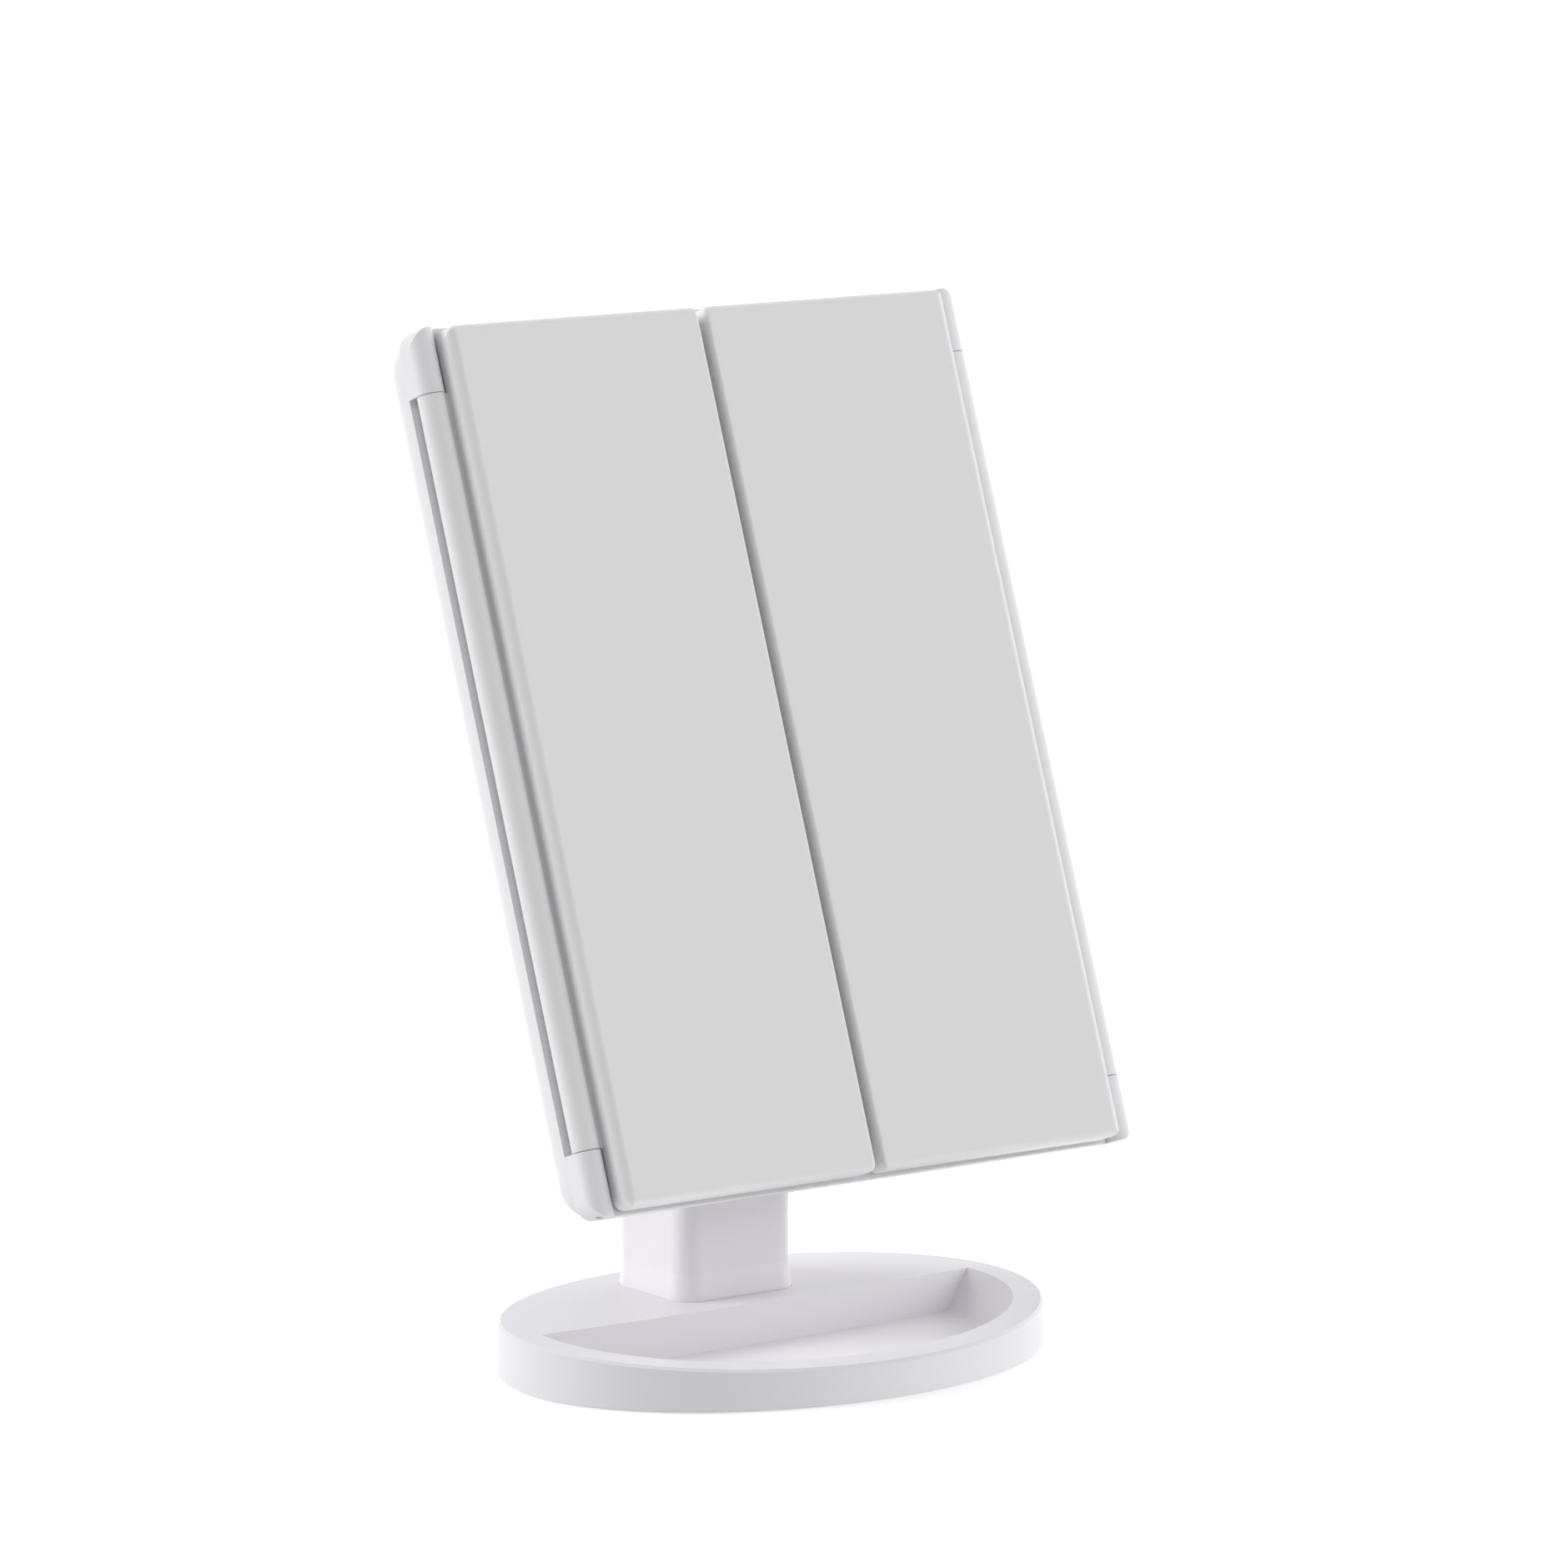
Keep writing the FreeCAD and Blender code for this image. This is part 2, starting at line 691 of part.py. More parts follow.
def neck_cover_screw():
    start = cover_screw_place() + Y_AXIS * (neck_cover_thickness / 2)
    return screw(start, -Y_AXIS, neck_foot_boss_height - screw_bite, head_height=neck_cover_thickness / 2)


def neck_foot_screws():
    length = neck_pad_thickness + neck_foot_boss_height - 2 * screw_bite
    return [screw(place + Vec(0, 0, neck_pad_bottom_z), Z_AXIS, length) for place in neck_screw_places()]


# ================================================================ tilt hinge
def friction_washers():
    washers = []
    for side in (-1, 1):
        start = pivot + X_AXIS * side * (neck_half + washer_gap)
        end = start + X_AXIS * side * washer_thickness
        hole = polygon_rod(shaft_radius + shaft_clearance, start, end, disc_sides)
        washers.append(polygon_rod(washer_radius, start, end, disc_sides).cut(hole))
    return washers


def tilt_shaft():
    """Shoulder bolt on the tilt axis, its flat head in the right cheek."""
    start = head_pivot - X_AXIS * (cap_seat_x + nut_height)
    end = head_pivot + X_AXIS * cap_seat_x
    stem = rod(shaft_radius, start, end)
    head = rod(cap_radius - shaft_head_gap, end, end + X_AXIS * nut_height)
    return stem.fuse(head).removeSplitter()


def shaft_nut():
    corner = nut_flats / math.sqrt(3)
    points = []
    for side in range(6):
        turn = math.radians(60 * side)
        points.append(head_pivot + Vec(-cap_seat_x, corner * math.cos(turn), corner * math.sin(turn)))
    nut = slab(outline(points), -X_AXIS * nut_height)
    return nut.cut(across(shaft_radius + pin_fit, head_width, head_pivot))


def pivot_caps():
    caps = []
    for side in (-1, 1):
        outer = head_pivot + X_AXIS * side * (cheek_outer_x + cap_thickness / 2)
        caps.append(polygon_rod(cap_radius - cap_gap, outer - X_AXIS * side * cap_thickness, outer,
                                disc_sides))
    return caps


def cheek():
    """Right-hand ear of the housing: a round eye drawn out to the back wall."""
    root_y = housing_back_y - housing_wall / 2
    eye = Vec(cheek_inner_x, head_pivot.y, head_pivot.z)
    profile = []
    for root_z, turn_side in ((cheek_bottom_z, -1), (cheek_top_z, 1)):
        root = Vec(cheek_inner_x, root_y, root_z)
        to_eye = eye - root
        heading = math.atan2(to_eye.z, to_eye.y)
        spread = math.asin(cheek_radius / to_eye.Length)
        run = math.sqrt(to_eye.Length ** 2 - cheek_radius ** 2)
        aim = heading + turn_side * spread
        profile.append((root, root + Vec(0, run * math.cos(aim), run * math.sin(aim))))
    (low_root, low_touch), (high_root, high_touch) = profile
    tip = eye + Vec(0, cheek_radius, 0)
    wire = Part.Wire([
        Part.makeLine(high_root, low_root),
        Part.makeLine(low_root, low_touch),
        Part.Arc(low_touch, tip, high_touch).toShape(),
        Part.makeLine(high_touch, high_root)])
    ear = slab(wire, X_AXIS * cheek_thickness)
    outer_edges = [e for e in ear.Edges if e.BoundBox.XLength < SMALL
                   and abs(e.BoundBox.XMax - cheek_outer_x) < SMALL and e.BoundBox.YMax > root_y + SMALL]
    ear = ear.makeChamfer(cheek_bevel, outer_edges)
    ear = ear.cut(rod(cap_radius, eye + X_AXIS * (cheek_thickness - cap_bore_depth),
                      eye + X_AXIS * (cheek_thickness + 1)))
    return ear


# ================================================================ head: frame and housing
def each_side(shape):
    """A right-hand piece and its mirror image."""
    return [shape, mirrored(shape)]


def hinge_bar(radius, z0, z1):
    return rod(radius, Vec(hinge_x, hinge_y, z0), Vec(hinge_x, hinge_y, z1))


def screw_rows():
    """Places of the housing screws, on both sides of the mirror."""
    for x in (-housing_screw_x, housing_screw_x):
        for z in housing_screw_rows:
            yield x, z


def board_screw_places():
    for x in (-board_half_width + board_screw_inset, board_half_width - board_screw_inset):
        for z in (board_bottom_z + board_screw_inset, board_top_z - board_screw_inset):
            yield x, z


def window_slot(grow, y0, y1):
    """Long upright slot with round ends, on the right."""
    half = window_width / 2 + grow
    return rounded_slab(window_x - half, window_x + half, y0, y1, window_bottom_z - grow,
                        window_top_z + grow, half - SMALL)


def front_frame():
    plate = rounded_slab(-half_head, half_head, frame_front_y, frame_back_y, 0, head_height, frame_corner)
    knuckles = []
    for z0, z1 in ((0, end_knuckle_length), (head_height - end_knuckle_length, head_height)):
        eye = hinge_bar(barrel_radius, z0, z1)
        trim = rounded_slab(-half_head, half_head, hinge_y - 2 * barrel_radius, frame_back_y, 0,
                            head_height, frame_corner)
        knuckles += each_side(eye.common(trim))
    for side in each_side(box(pocket_x, half_head + 1, 0, frame_back_y + 1, end_knuckle_length,
                              head_height - end_knuckle_length)):
        plate = plate.cut(side)
    over_slit = box(pocket_x, hinge_x - barrel_radius, 0, hinge_y + barrel_radius, -1, head_height + 1)
    for side in each_side(over_slit):
        plate = plate.cut(side)
    frame = fused([plate] + knuckles)
    frame = frame.cut(box(-mirror_half_width - glass_gap, mirror_half_width + glass_gap, 0, glass_back_y,
                          mirror_bottom_z - glass_gap, mirror_top_z + glass_gap))
    opening_half = mirror_half_width - mirror_ledge
    frame = frame.cut(rounded_slab(-opening_half, opening_half, 0, frame_back_y + 1, ledge_bottom_z,
                                   mirror_top_z - mirror_ledge, frame_corner))
    frame = frame.cut(rod(touch_hole_radius, Vec(0, 0, touch_z), Vec(0, frame_back_y + 1, touch_z)))

    bosses = []
    for x, z in screw_rows():
        bosses.append(boss(Vec(x, glass_back_y, z), Vec(x, housing_boss_split_y, z)))
    for x, z in board_screw_places():
        bosses.append(boss(Vec(x, glass_back_y, z), Vec(x, board_front_y, z), board_screw_head_radius))
    frame = fused([frame] + bosses)
    cutters = []
    for x, z in screw_rows():
        cutters.append(screw_hole(Vec(x, glass_back_y + screw_bite / 2, z),
                                  Vec(x, housing_boss_split_y + 1, z)))
    for x, z in board_screw_places():
        cutters.append(screw_hole(Vec(x, glass_back_y + screw_bite / 2, z),
                                  Vec(x, housing_boss_split_y, z), board_screw_radius))
    flange_front_y = frame_front_y + window_depth
    step_grow = window_flange + led_board_step
    for piece in (window_slot(0, 0, frame_back_y + 1),
                  window_slot(window_flange, flange_front_y, frame_back_y + 1),
                  window_slot(step_grow, led_board_front_y, frame_back_y + 1)):
        cutters += each_side(piece)
    pin_hole_radius = pin_radius + pin_fit
    cutters += each_side(hinge_bar(pin_hole_radius, -1, head_height + 1))
    return frame.cut(cutters)


def hinge_pins():
    pins = []
    for z0, z1 in ((pin_recess, barrel_bottom_z + pin_reach),
                   (barrel_top_z - pin_reach, head_height - pin_recess)):
        pins += each_side(hinge_bar(pin_radius, z0, z1))
    return pins


def wing_bumpers():
    bumpers = []
    for x in (-bumper_x, bumper_x):
        for z in (mirror_bottom_z / 2, (mirror_top_z + head_height) / 2):
            bumpers.append(polygon_rod(bumper_radius, Vec(x, frame_front_y, z),
                                       Vec(x, frame_front_y - bumper_height, z), disc_sides))
    return bumpers


def center_mirror():
    return box(-mirror_half_width, mirror_half_width, glass_front_y, glass_back_y, mirror_bottom_z,
               mirror_top_z)


def light_window():
    """Right-hand diffuser: a tongue that fills the slot and a flange behind it."""
    flange_front_y = frame_front_y + window_depth
    tongue = window_slot(-window_gap, frame_front_y, flange_front_y + SMALL)
    flange = window_slot(window_flange - window_gap, flange_front_y,
                         flange_front_y + window_flange_thickness)
    return fused([tongue, flange])


def led_board():
    """Right-hand light strip: a board with a row of lamps soldered to its front."""
    grow = window_flange + led_board_step - window_gap
    board = window_slot(grow, led_board_front_y, led_board_front_y + led_board_thickness)
    pieces = [board]
    pitch = (window_top_z - window_bottom_z) / led_count
    for index in range(led_count):
        z = window_bottom_z + pitch * (index + 0.5)
        pieces.append(box(window_x - led_size / 2, window_x + led_size / 2, led_board_front_y - led_height,
                          led_board_front_y + SMALL, z - led_size / 2, z + led_size / 2))
    return fused(pieces)


def housing_outside():
    """Housing as a full block, with one radius round its back and down its corners."""
    block = box(-half_head, half_head, frame_back_y, housing_back_y, housing_inset,
                head_height - housing_inset)
    edges = [e for e in block.Edges if e.BoundBox.YMax > housing_back_y - SMALL]
    return block.makeFillet(housing_radius, edges)


def housing_hollow():
    """Inside of the housing. A flat bevel keeps the wall about as thick behind the rounded edge."""
    radius = housing_radius - housing_wall
    half = half_head - housing_wall
    block = rounded_slab(-half, half, frame_back_y, housing_inner_y, housing_inset + housing_wall,
                         head_height - housing_inset - housing_wall, radius)
    back_edges = [e for e in block.Edges if e.BoundBox.YMin > housing_inner_y - SMALL]
    return block.makeChamfer(radius * (2 - math.sqrt(2)), back_edges)


def battery_bay(grow, y0, y1):
    return box(-bay_half_width - grow, bay_half_width + grow, y0, y1, bay_bottom_z - grow, bay_top_z + grow)


def rear_housing():
    hollow = housing_hollow()
    side_flange = box(pocket_x - housing_flange, half_head, frame_back_y, frame_back_y + housing_flange,
                      0, head_height)
    for flange in each_side(side_flange):
        hollow = hollow.cut(flange)
    hollow = hollow.cut(battery_bay(bay_wall, bay_floor_y - bay_wall, housing_back_y))
    for x, z in screw_rows():
        hollow = hollow.cut(boss(Vec(x, housing_boss_split_y, z), Vec(x, housing_back_y, z),
                                 screw_head_radius + housing_wall / 2))
    for x in (port_x - socket_board_post_x, port_x + socket_board_post_x):
        hollow = hollow.cut(boss(Vec(x, socket_front_y, socket_z), Vec(x, housing_back_y, socket_z),
                                 board_screw_head_radius))
    rib_front_y = housing_inner_y - cheek_rib_height
    half_rib = cheek_rib_width / 2
    for z in (cheek_bottom_z + cheek_rib_height, cheek_top_z - cheek_rib_height):
        half = cheek_outer_x + cheek_thickness
        hollow = hollow.cut(box(-half, half, rib_front_y, housing_back_y, z - half_rib, z + half_rib))
    for x in (cheek_inner_x + cheek_rib_width, cheek_outer_x - cheek_rib_width):
        upright = box(x - half_rib, x + half_rib, rib_front_y, housing_back_y, cheek_bottom_z, cheek_top_z)
        for rib in each_side(upright):
            hollow = hollow.cut(rib)
    shell = housing_outside().cut(hollow)
    bay_front = battery_bay(bay_wall, bay_floor_y - bay_wall, frame_back_y + 1)
    shell = fused([shell, bay_front] + each_side(cheek()))

    cutters = [battery_bay(0, bay_floor_y, housing_back_y + 1), door_recess()]
    for x, z in screw_rows():
        cutters.append(screw_hole(Vec(x, frame_back_y, z), Vec(x, housing_back_y, z),
                                  screw_radius + plate_gap))
        cutters.append(boss(Vec(x, housing_screw_seat_y, z), Vec(x, housing_back_y + 1, z),
                            screw_head_radius + plate_gap))
    cutters += [switch_recess(), switch_slot(), socket_hole()]
    cutters.append(across(shaft_radius + pin_fit, head_width, head_pivot))
    return shell.cut(cutters)


def housing_screws():
    length = housing_screw_seat_y - glass_back_y - screw_bite
    return [screw(Vec(x, housing_screw_seat_y, z), -Y_AXIS, length) for x, z in screw_rows()]


# ================================================================ battery bay
def door_recess():
    return box(-door_half_width, door_half_width, door_seat_y - contact_clearance, housing_back_y + 1,
               door_bottom_z, door_top_z)


def battery_door():
    """Flush cover that tips out on its round lower edge."""
    radius = door_thickness / 2
    pivot_z = door_bottom_z + door_gap + radius
    half = door_half_width - door_gap
    plate = box(-half, half, door_seat_y, housing_back_y, pivot_z, door_top_z - door_gap)
    edge = rod(radius, Vec(-half, door_seat_y + radius, pivot_z), Vec(half, door_seat_y + radius, pivot_z))
    door = fused([plate, edge])
    pull_y = housing_back_y + door_pull_radius - door_pull_depth
    pull_z = door_top_z - door_margin
    return door.cut(rod(door_pull_radius, Vec(0, pull_y, pull_z - door_pull_length), Vec(0, pull_y, pull_z)))


def cell_rows():
    for index in range(cell_count):
        z = bay_bottom_z + bay_margin + cell_pitch * (index + 0.5)
        yield z, 1 if index % 2 == 0 else -1


def batteries():
    cells = []
    for z, side in cell_rows():
        tip = Vec(side * cell_span, cell_axis_y, z)
        shoulder = tip - X_AXIS * side * cell_nub
        foot = Vec(-side * cell_span, cell_axis_y, z)
        nub = polygon_rod(cell_nub_radius, shoulder, tip, head_sides)
        cells.append(polygon_rod(cell_radius, foot, shoulder, disc_sides).fuse(nub).removeSplitter())
    return cells


def battery_springs():
    """Bent leaf for the flat end of each cell: a strip on the bay wall, a slanted tongue and a pad."""
    springs = []
    reach = bay_half_width - cell_span
    thick = contact_thickness
    foot_y = bay_floor_y + 1
    head_y = housing_inner_y - 1
    pad_y = (foot_y + head_y) / 2
    slant = 2 * thick
    profile = [(0, foot_y), (0, head_y), (thick, head_y), (thick, foot_y + slant),
               (reach - thick, pad_y + slant / 2), (reach - thick, pad_y + contact_pad),
               (reach, pad_y + contact_pad),
               (reach, pad_y)]
    for z, side in cell_rows():
        low_z = z - contact_width / 2
        corners = [Vec(side * (depth - bay_half_width), y, low_z) for depth, y in profile]
        springs.append(slab(outline(corners), Z_AXIS * contact_width))
    return springs


def battery_plates():
    """Dished plate against the nub end of each cell."""
    plates = []
    for z, side in cell_rows():
        wall_x = side * bay_half_width
        inner_x = side * (cell_span + contact_clearance)
        front_y = bay_floor_y + 1
        back_y = housing_inner_y - 1
        low = min(wall_x, wall_x - side * contact_thickness)
        plate = box(low, low + contact_thickness, front_y, back_y, z - contact_width / 2,
                    z + contact_width / 2)
        dish = boss(Vec(inner_x, cell_axis_y, z), Vec(wall_x, cell_axis_y, z), cell_nub_radius)
        plates.append(fused([plate, dish]))
    return plates


# ================================================================ boards, switch and socket
def control_board():
    pieces = [rounded_slab(-board_half_width, board_half_width, board_front_y, board_back_y,
                           board_bottom_z, board_top_z, board_corner)]
    for x, up, width, height, thickness in chips:
        z = board_bottom_z + up
        pieces.append(box(x - width / 2, x + width / 2, board_back_y - SMALL, board_back_y + thickness,
                          z - height / 2, z + height / 2))
    holes = [screw_hole(Vec(x, 0, z), Vec(x, housing_back_y, z), board_screw_radius)
             for x, z in board_screw_places()]
    return fused(pieces).cut(holes)


def board_screws():
    length = board_back_y - glass_back_y - screw_bite
    return [screw(Vec(x, board_back_y, z), -Y_AXIS, length, board_screw_head_radius,
                  board_screw_head_height, board_screw_radius) for x, z in board_screw_places()]


def touch_contact():
    """Z-shaped spring strip from the board to the back of the glass."""
    thick = touch_strip_thickness
    low = touch_z - touch_strip_height / 2
    high = touch_z + touch_strip_height / 2
    pad = touch_strip_height / 5
    profile = [(board_front_y, low), (board_front_y, high), (board_front_y - thick, high),
               (board_front_y - thick, low + pad), (glass_back_y + thick, high - pad),
               (glass_back_y + thick, high), (glass_back_y, high), (glass_back_y, high - pad - thick),
               (board_front_y - thick, low)]
    corners = [Vec(-touch_strip_width / 2, y, z) for y, z in profile]
    return slab(outline(corners), X_AXIS * touch_strip_width)


def flex_cables():
    """Flat leads from the back of each light strip to the control board."""
    strip_y = led_board_front_y + led_board_thickness
    thick = lead_thickness
    end_x = window_x + window_width / 4
    rise_x = mirror_half_width - window_width * 3 / 4
    step_x = rise_x - window_width
    board_x = board_half_width - window_width
    seat_x = window_x - window_width / 2 - lead_lift
    lift_y = strip_y + lead_lift
    profile = [(end_x, strip_y), (end_x, strip_y + thick), (rise_x, lift_y + thick),
               (step_x, board_back_y + thick), (board_x, board_back_y + thick), (board_x, board_back_y),
               (step_x - thick, board_back_y), (rise_x - thick, lift_y), (seat_x, lift_y), (seat_x, strip_y)]
    corners = [Vec(x, y, lead_bottom_z) for x, y in profile]
    return each_side(slab(outline(corners), Z_AXIS * lead_width))


def switch_recess():
    half = (switch_knob_width + switch_travel) / 2 + switch_recess_margin
    return rounded_slab(port_x - half, port_x + half, housing_back_y - switch_recess_depth,
                        housing_back_y + 1, switch_z - switch_recess_half_height,
                        switch_z + switch_recess_half_height, switch_recess_corner)


def switch_slot(depth=1.0):
    """Room for the stem's travel, from this far behind the wall."""
    half = (switch_stem_width + switch_travel) / 2 + slot_gap
    tall = switch_stem_height / 2 + slot_gap
    return box(port_x - half, port_x + half, housing_inner_y - depth, housing_back_y, switch_z - tall,
               switch_z + tall)


def switch_body():
    """Slide switch behind the back wall, open where its stem runs."""
    body = box(port_x - switch_body_width / 2, port_x + switch_body_width / 2,
               housing_inner_y - switch_body_depth, housing_inner_y, switch_z - switch_body_height / 2,
               switch_z + switch_body_height / 2)
    return body.cut(switch_slot(switch_stem_reach + slot_gap))


def switch_knob():
    """Ribbed slider at the off end of its travel."""
    centre = port_x - switch_travel / 2
    cap_front_y = housing_back_y - switch_recess_depth + slot_gap
    cap_back_y = housing_back_y + switch_knob_proud
    half = switch_knob_width / 2
    tall = switch_knob_height / 2
    knob = fused([
        box(centre - half, centre + half, cap_front_y, cap_back_y, switch_z - tall, switch_z + tall),
        box(centre - switch_stem_width / 2, centre + switch_stem_width / 2,
            housing_inner_y - switch_stem_reach, cap_front_y + SMALL,
            switch_z - switch_stem_height / 2, switch_z + switch_stem_height / 2)])
    for step in (-switch_rib_pitch, 0.0, switch_rib_pitch):
        left = centre + step - switch_rib_groove / 2
        groove = box(left, left + switch_rib_groove, cap_back_y - switch_rib_depth, cap_back_y + 1,
                     switch_z - switch_knob_height, switch_z + switch_knob_height)
        knob = knob.cut(groove)
    return knob


def socket_block(grow, y0, y1):
    half_w = socket_width / 2 + grow
    half_h = socket_height / 2 + grow
    return rounded_slab(port_x - half_w, port_x + half_w, y0, y1, socket_z - half_h, socket_z + half_h,
                        half_h - SMALL)


def socket_hole():
    return socket_block(socket_gap, housing_inner_y - 1, housing_back_y + 1)


def charge_socket():
    """Charging inlet: a metal sleeve with a tongue in it."""
    sleeve = socket_block(0, socket_front_y, socket_front_y + socket_depth)
    floor_y = socket_front_y + socket_back_wall
    bore = socket_block(-socket_wall, floor_y, socket_front_y + socket_depth + 1)
    tongue = box(port_x - socket_tongue_width / 2, port_x + socket_tongue_width / 2, floor_y - SMALL,
                 socket_front_y + socket_depth - socket_tongue_short,
                 socket_z - socket_tongue_height / 2, socket_z + socket_tongue_height / 2)
    return fused([sleeve.cut(bore), tongue])


def charge_board():
    half = socket_board_post_x + board_screw_inset
    return rounded_slab(port_x - half, port_x + half, socket_front_y - socket_board_thickness,
                        socket_front_y, socket_z - socket_board_half_height,
                        socket_z + socket_board_half_height, board_corner)


# ================================================================ wings
def wing_block():
    """Right-hand wing panel as a full solid: each long front edge and the two ends have their own radius."""
    block = box(wing_inner_x, wing_outer_x, 0, wing_thickness, wing_bottom_z, wing_top_z)
    front_loop = [e for e in block.Edges if e.BoundBox.YMax < SMALL]
    outer_edge = [e for e in front_loop if e.BoundBox.XMin > wing_outer_x - SMALL]
    end_edges = [e for e in front_loop if e.BoundBox.ZLength < SMALL]
    for_outer = block.makeFillet(wing_outer_edge, outer_edge)
    for_ends = block.makeFillet(wing_end_edge, end_edges)
    for side_x, radius in ((wing_outer_x, wing_outer_corner), (wing_inner_x, wing_inner_corner)):
        corners = [e for e in block.Edges if e.BoundBox.YLength > wing_thickness - SMALL
                   and abs(e.BoundBox.XMin - side_x) < SMALL and e.BoundBox.XLength < SMALL]
        block = block.makeFillet(radius, corners)
    front_loop = [e for e in block.Edges if e.BoundBox.YMax < SMALL]
    block = block.makeFillet(wing_inner_edge, front_loop)
    return block.common(for_outer).common(for_ends)


def wing_cover():
    """Right-hand wing: front skin, rim, and the hinge barrel on a web along its outer edge."""
    cavity = box(wing_inner_x + wing_rim, wing_outer_x - wing_rim, wing_skin, wing_thickness + 1,
                 wing_bottom_z + wing_rim, wing_top_z - wing_rim)
    cover = wing_block().cut(cavity)
    barrel = hinge_bar(barrel_radius, barrel_bottom_z, barrel_top_z)
    web = box(wing_outer_x - wing_rim, hinge_x, wing_web_front_y, wing_web_back_y, barrel_bottom_z,
              barrel_top_z)
    cover = fused([cover, barrel, web])
    hole_radius = pin_radius + pin_running_gap
    hole_depth = pin_reach + 2 * seam_gap
    return cover.cut([hinge_bar(hole_radius, barrel_bottom_z - 1, barrel_bottom_z + hole_depth),
                      hinge_bar(hole_radius, barrel_top_z - hole_depth, barrel_top_z + 1)])


def glass_bays(split):
    """Heights of the mirror bays of one wing, from the bottom up."""
    low = frame_low_z + wing_border
    high = frame_high_z - wing_border
    if not split:
        return [(low, high)]
    return [(low, low + wing_mirror_split), (low + wing_mirror_split + wing_divider, high)]


def wing_frame(split):
    """Right-hand inner frame: a plate with a rim, and a shallow bay for each mirror."""
    frame = box(frame_inner_x, frame_outer_x, wing_skin, wing_thickness, frame_low_z, frame_high_z)
    hollow_top_y = glass_seat_y - wing_frame_plate
    cutters = [box(frame_inner_x + wing_frame_rim, frame_outer_x - wing_frame_rim, wing_skin - 1,
                   hollow_top_y, frame_low_z + wing_frame_rim, frame_high_z - wing_frame_rim)]
    for low, high in glass_bays(split):
        cutters.append(box(frame_inner_x + wing_border, frame_outer_x - wing_border, glass_seat_y,
                           wing_thickness + 1, low, high))
    return frame.cut(cutters)


def wing_glass(split):
    glasses = []
    for low, high in glass_bays(split):
        glasses.append(box(frame_inner_x + wing_border + glass_gap, frame_outer_x - wing_border - glass_gap,
                           glass_seat_y, glass_seat_y + glass_thickness, low + glass_gap, high - glass_gap))
    return glasses


# ================================================================ write every node
os.makedirs("parts", exist_ok=True)

save("base_shell", base_shell())
save("base_bottom_plate", base_bottom_plate())
save("base_weight", base_weight())
save("base_feet", base_feet())
save("base_screws", base_screws())
save("neck_shell", neck_shell())
save("neck_rear_cover", neck_rear_cover())
save("neck_cover_screw", neck_cover_screw())
save("neck_foot_screws", neck_foot_screws())
save("friction_washers", friction_washers())

save("rear_housing", in_head(rear_housing()))
save("front_frame", in_head(front_frame()))
save("center_mirror", in_head(center_mirror()))
save("tilt_shaft", in_head(tilt_shaft()))
save("shaft_nut", in_head(shaft_nut()))
save("pivot_caps", [in_head(cap) for cap in pivot_caps()])
save("housing_screws", [in_head(piece) for piece in housing_screws()])
save("hinge_pins", [in_head(pin) for pin in hinge_pins()])
save("wing_bumpers", [in_head(bumper) for bumper in wing_bumpers()])
save("light_window_right", in_head(light_window()))
save("light_window_left", in_head(mirrored(light_window())))
save("led_board_right", in_head(led_board()))
save("led_board_left", in_head(mirrored(led_board())))
save("batteries", [in_head(cell) for cell in batteries()])
save("battery_springs", [in_head(leaf) for leaf in battery_springs()])
save("battery_plates", [in_head(plate) for plate in battery_plates()])
save("control_board", in_head(control_board()))
save("board_screws", [in_head(piece) for piece in board_screws()])
save("touch_contact", in_head(touch_contact()))
save("flex_cables", [in_head(lead) for lead in flex_cables()])
save("switch_body", in_head(switch_body()))
save("switch_knob", in_head(switch_knob()))
save("charge_socket", in_head(charge_socket()))
save("charge_board", in_head(charge_board()))
save("battery_door", in_head(battery_door()))

right_cover = wing_cover()
save("right_wing_cover", in_head(right_cover))
save("left_wing_cover", in_head(mirrored(right_cover)))
save("right_wing_frame", in_head(wing_frame(False)))
save("left_wing_frame", in_head(mirrored(wing_frame(True))))
save("right_mirror", in_head(wing_glass(False)[0]))
lower_glass, upper_glass = wing_glass(True)
save("left_mirror_lower", in_head(mirrored(lower_glass)))
save("left_mirror_upper", in_head(mirrored(upper_glass)))
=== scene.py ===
import math

import bmesh
import bpy
from mathutils import Matrix, Vector


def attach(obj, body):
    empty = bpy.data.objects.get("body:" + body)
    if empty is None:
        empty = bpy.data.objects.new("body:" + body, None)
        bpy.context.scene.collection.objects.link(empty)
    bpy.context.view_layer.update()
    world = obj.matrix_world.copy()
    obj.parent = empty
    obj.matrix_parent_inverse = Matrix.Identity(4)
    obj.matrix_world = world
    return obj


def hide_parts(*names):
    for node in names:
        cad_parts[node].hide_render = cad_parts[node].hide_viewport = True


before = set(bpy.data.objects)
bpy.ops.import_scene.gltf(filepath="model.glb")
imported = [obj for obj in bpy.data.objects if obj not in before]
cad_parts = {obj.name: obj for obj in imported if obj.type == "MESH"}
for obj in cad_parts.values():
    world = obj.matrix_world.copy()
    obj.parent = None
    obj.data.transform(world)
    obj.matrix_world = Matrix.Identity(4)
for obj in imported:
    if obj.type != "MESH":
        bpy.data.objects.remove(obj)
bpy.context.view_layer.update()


# ------------------------------------------------------------------ camera
# Portrait lens on a tripod, to the left of the mirror's front and a little above its base, tilted
# slightly down. The horizon is level.
camera_place = Vector((-1.378774, -1.855122, 0.516950))
camera_azimuth = math.radians(36.695)
camera_drop = math.radians(8.85)
camera_lens = 200.84
camera_sensor = 36.0
camera_reach = 100.0
level_view = math.radians(90)

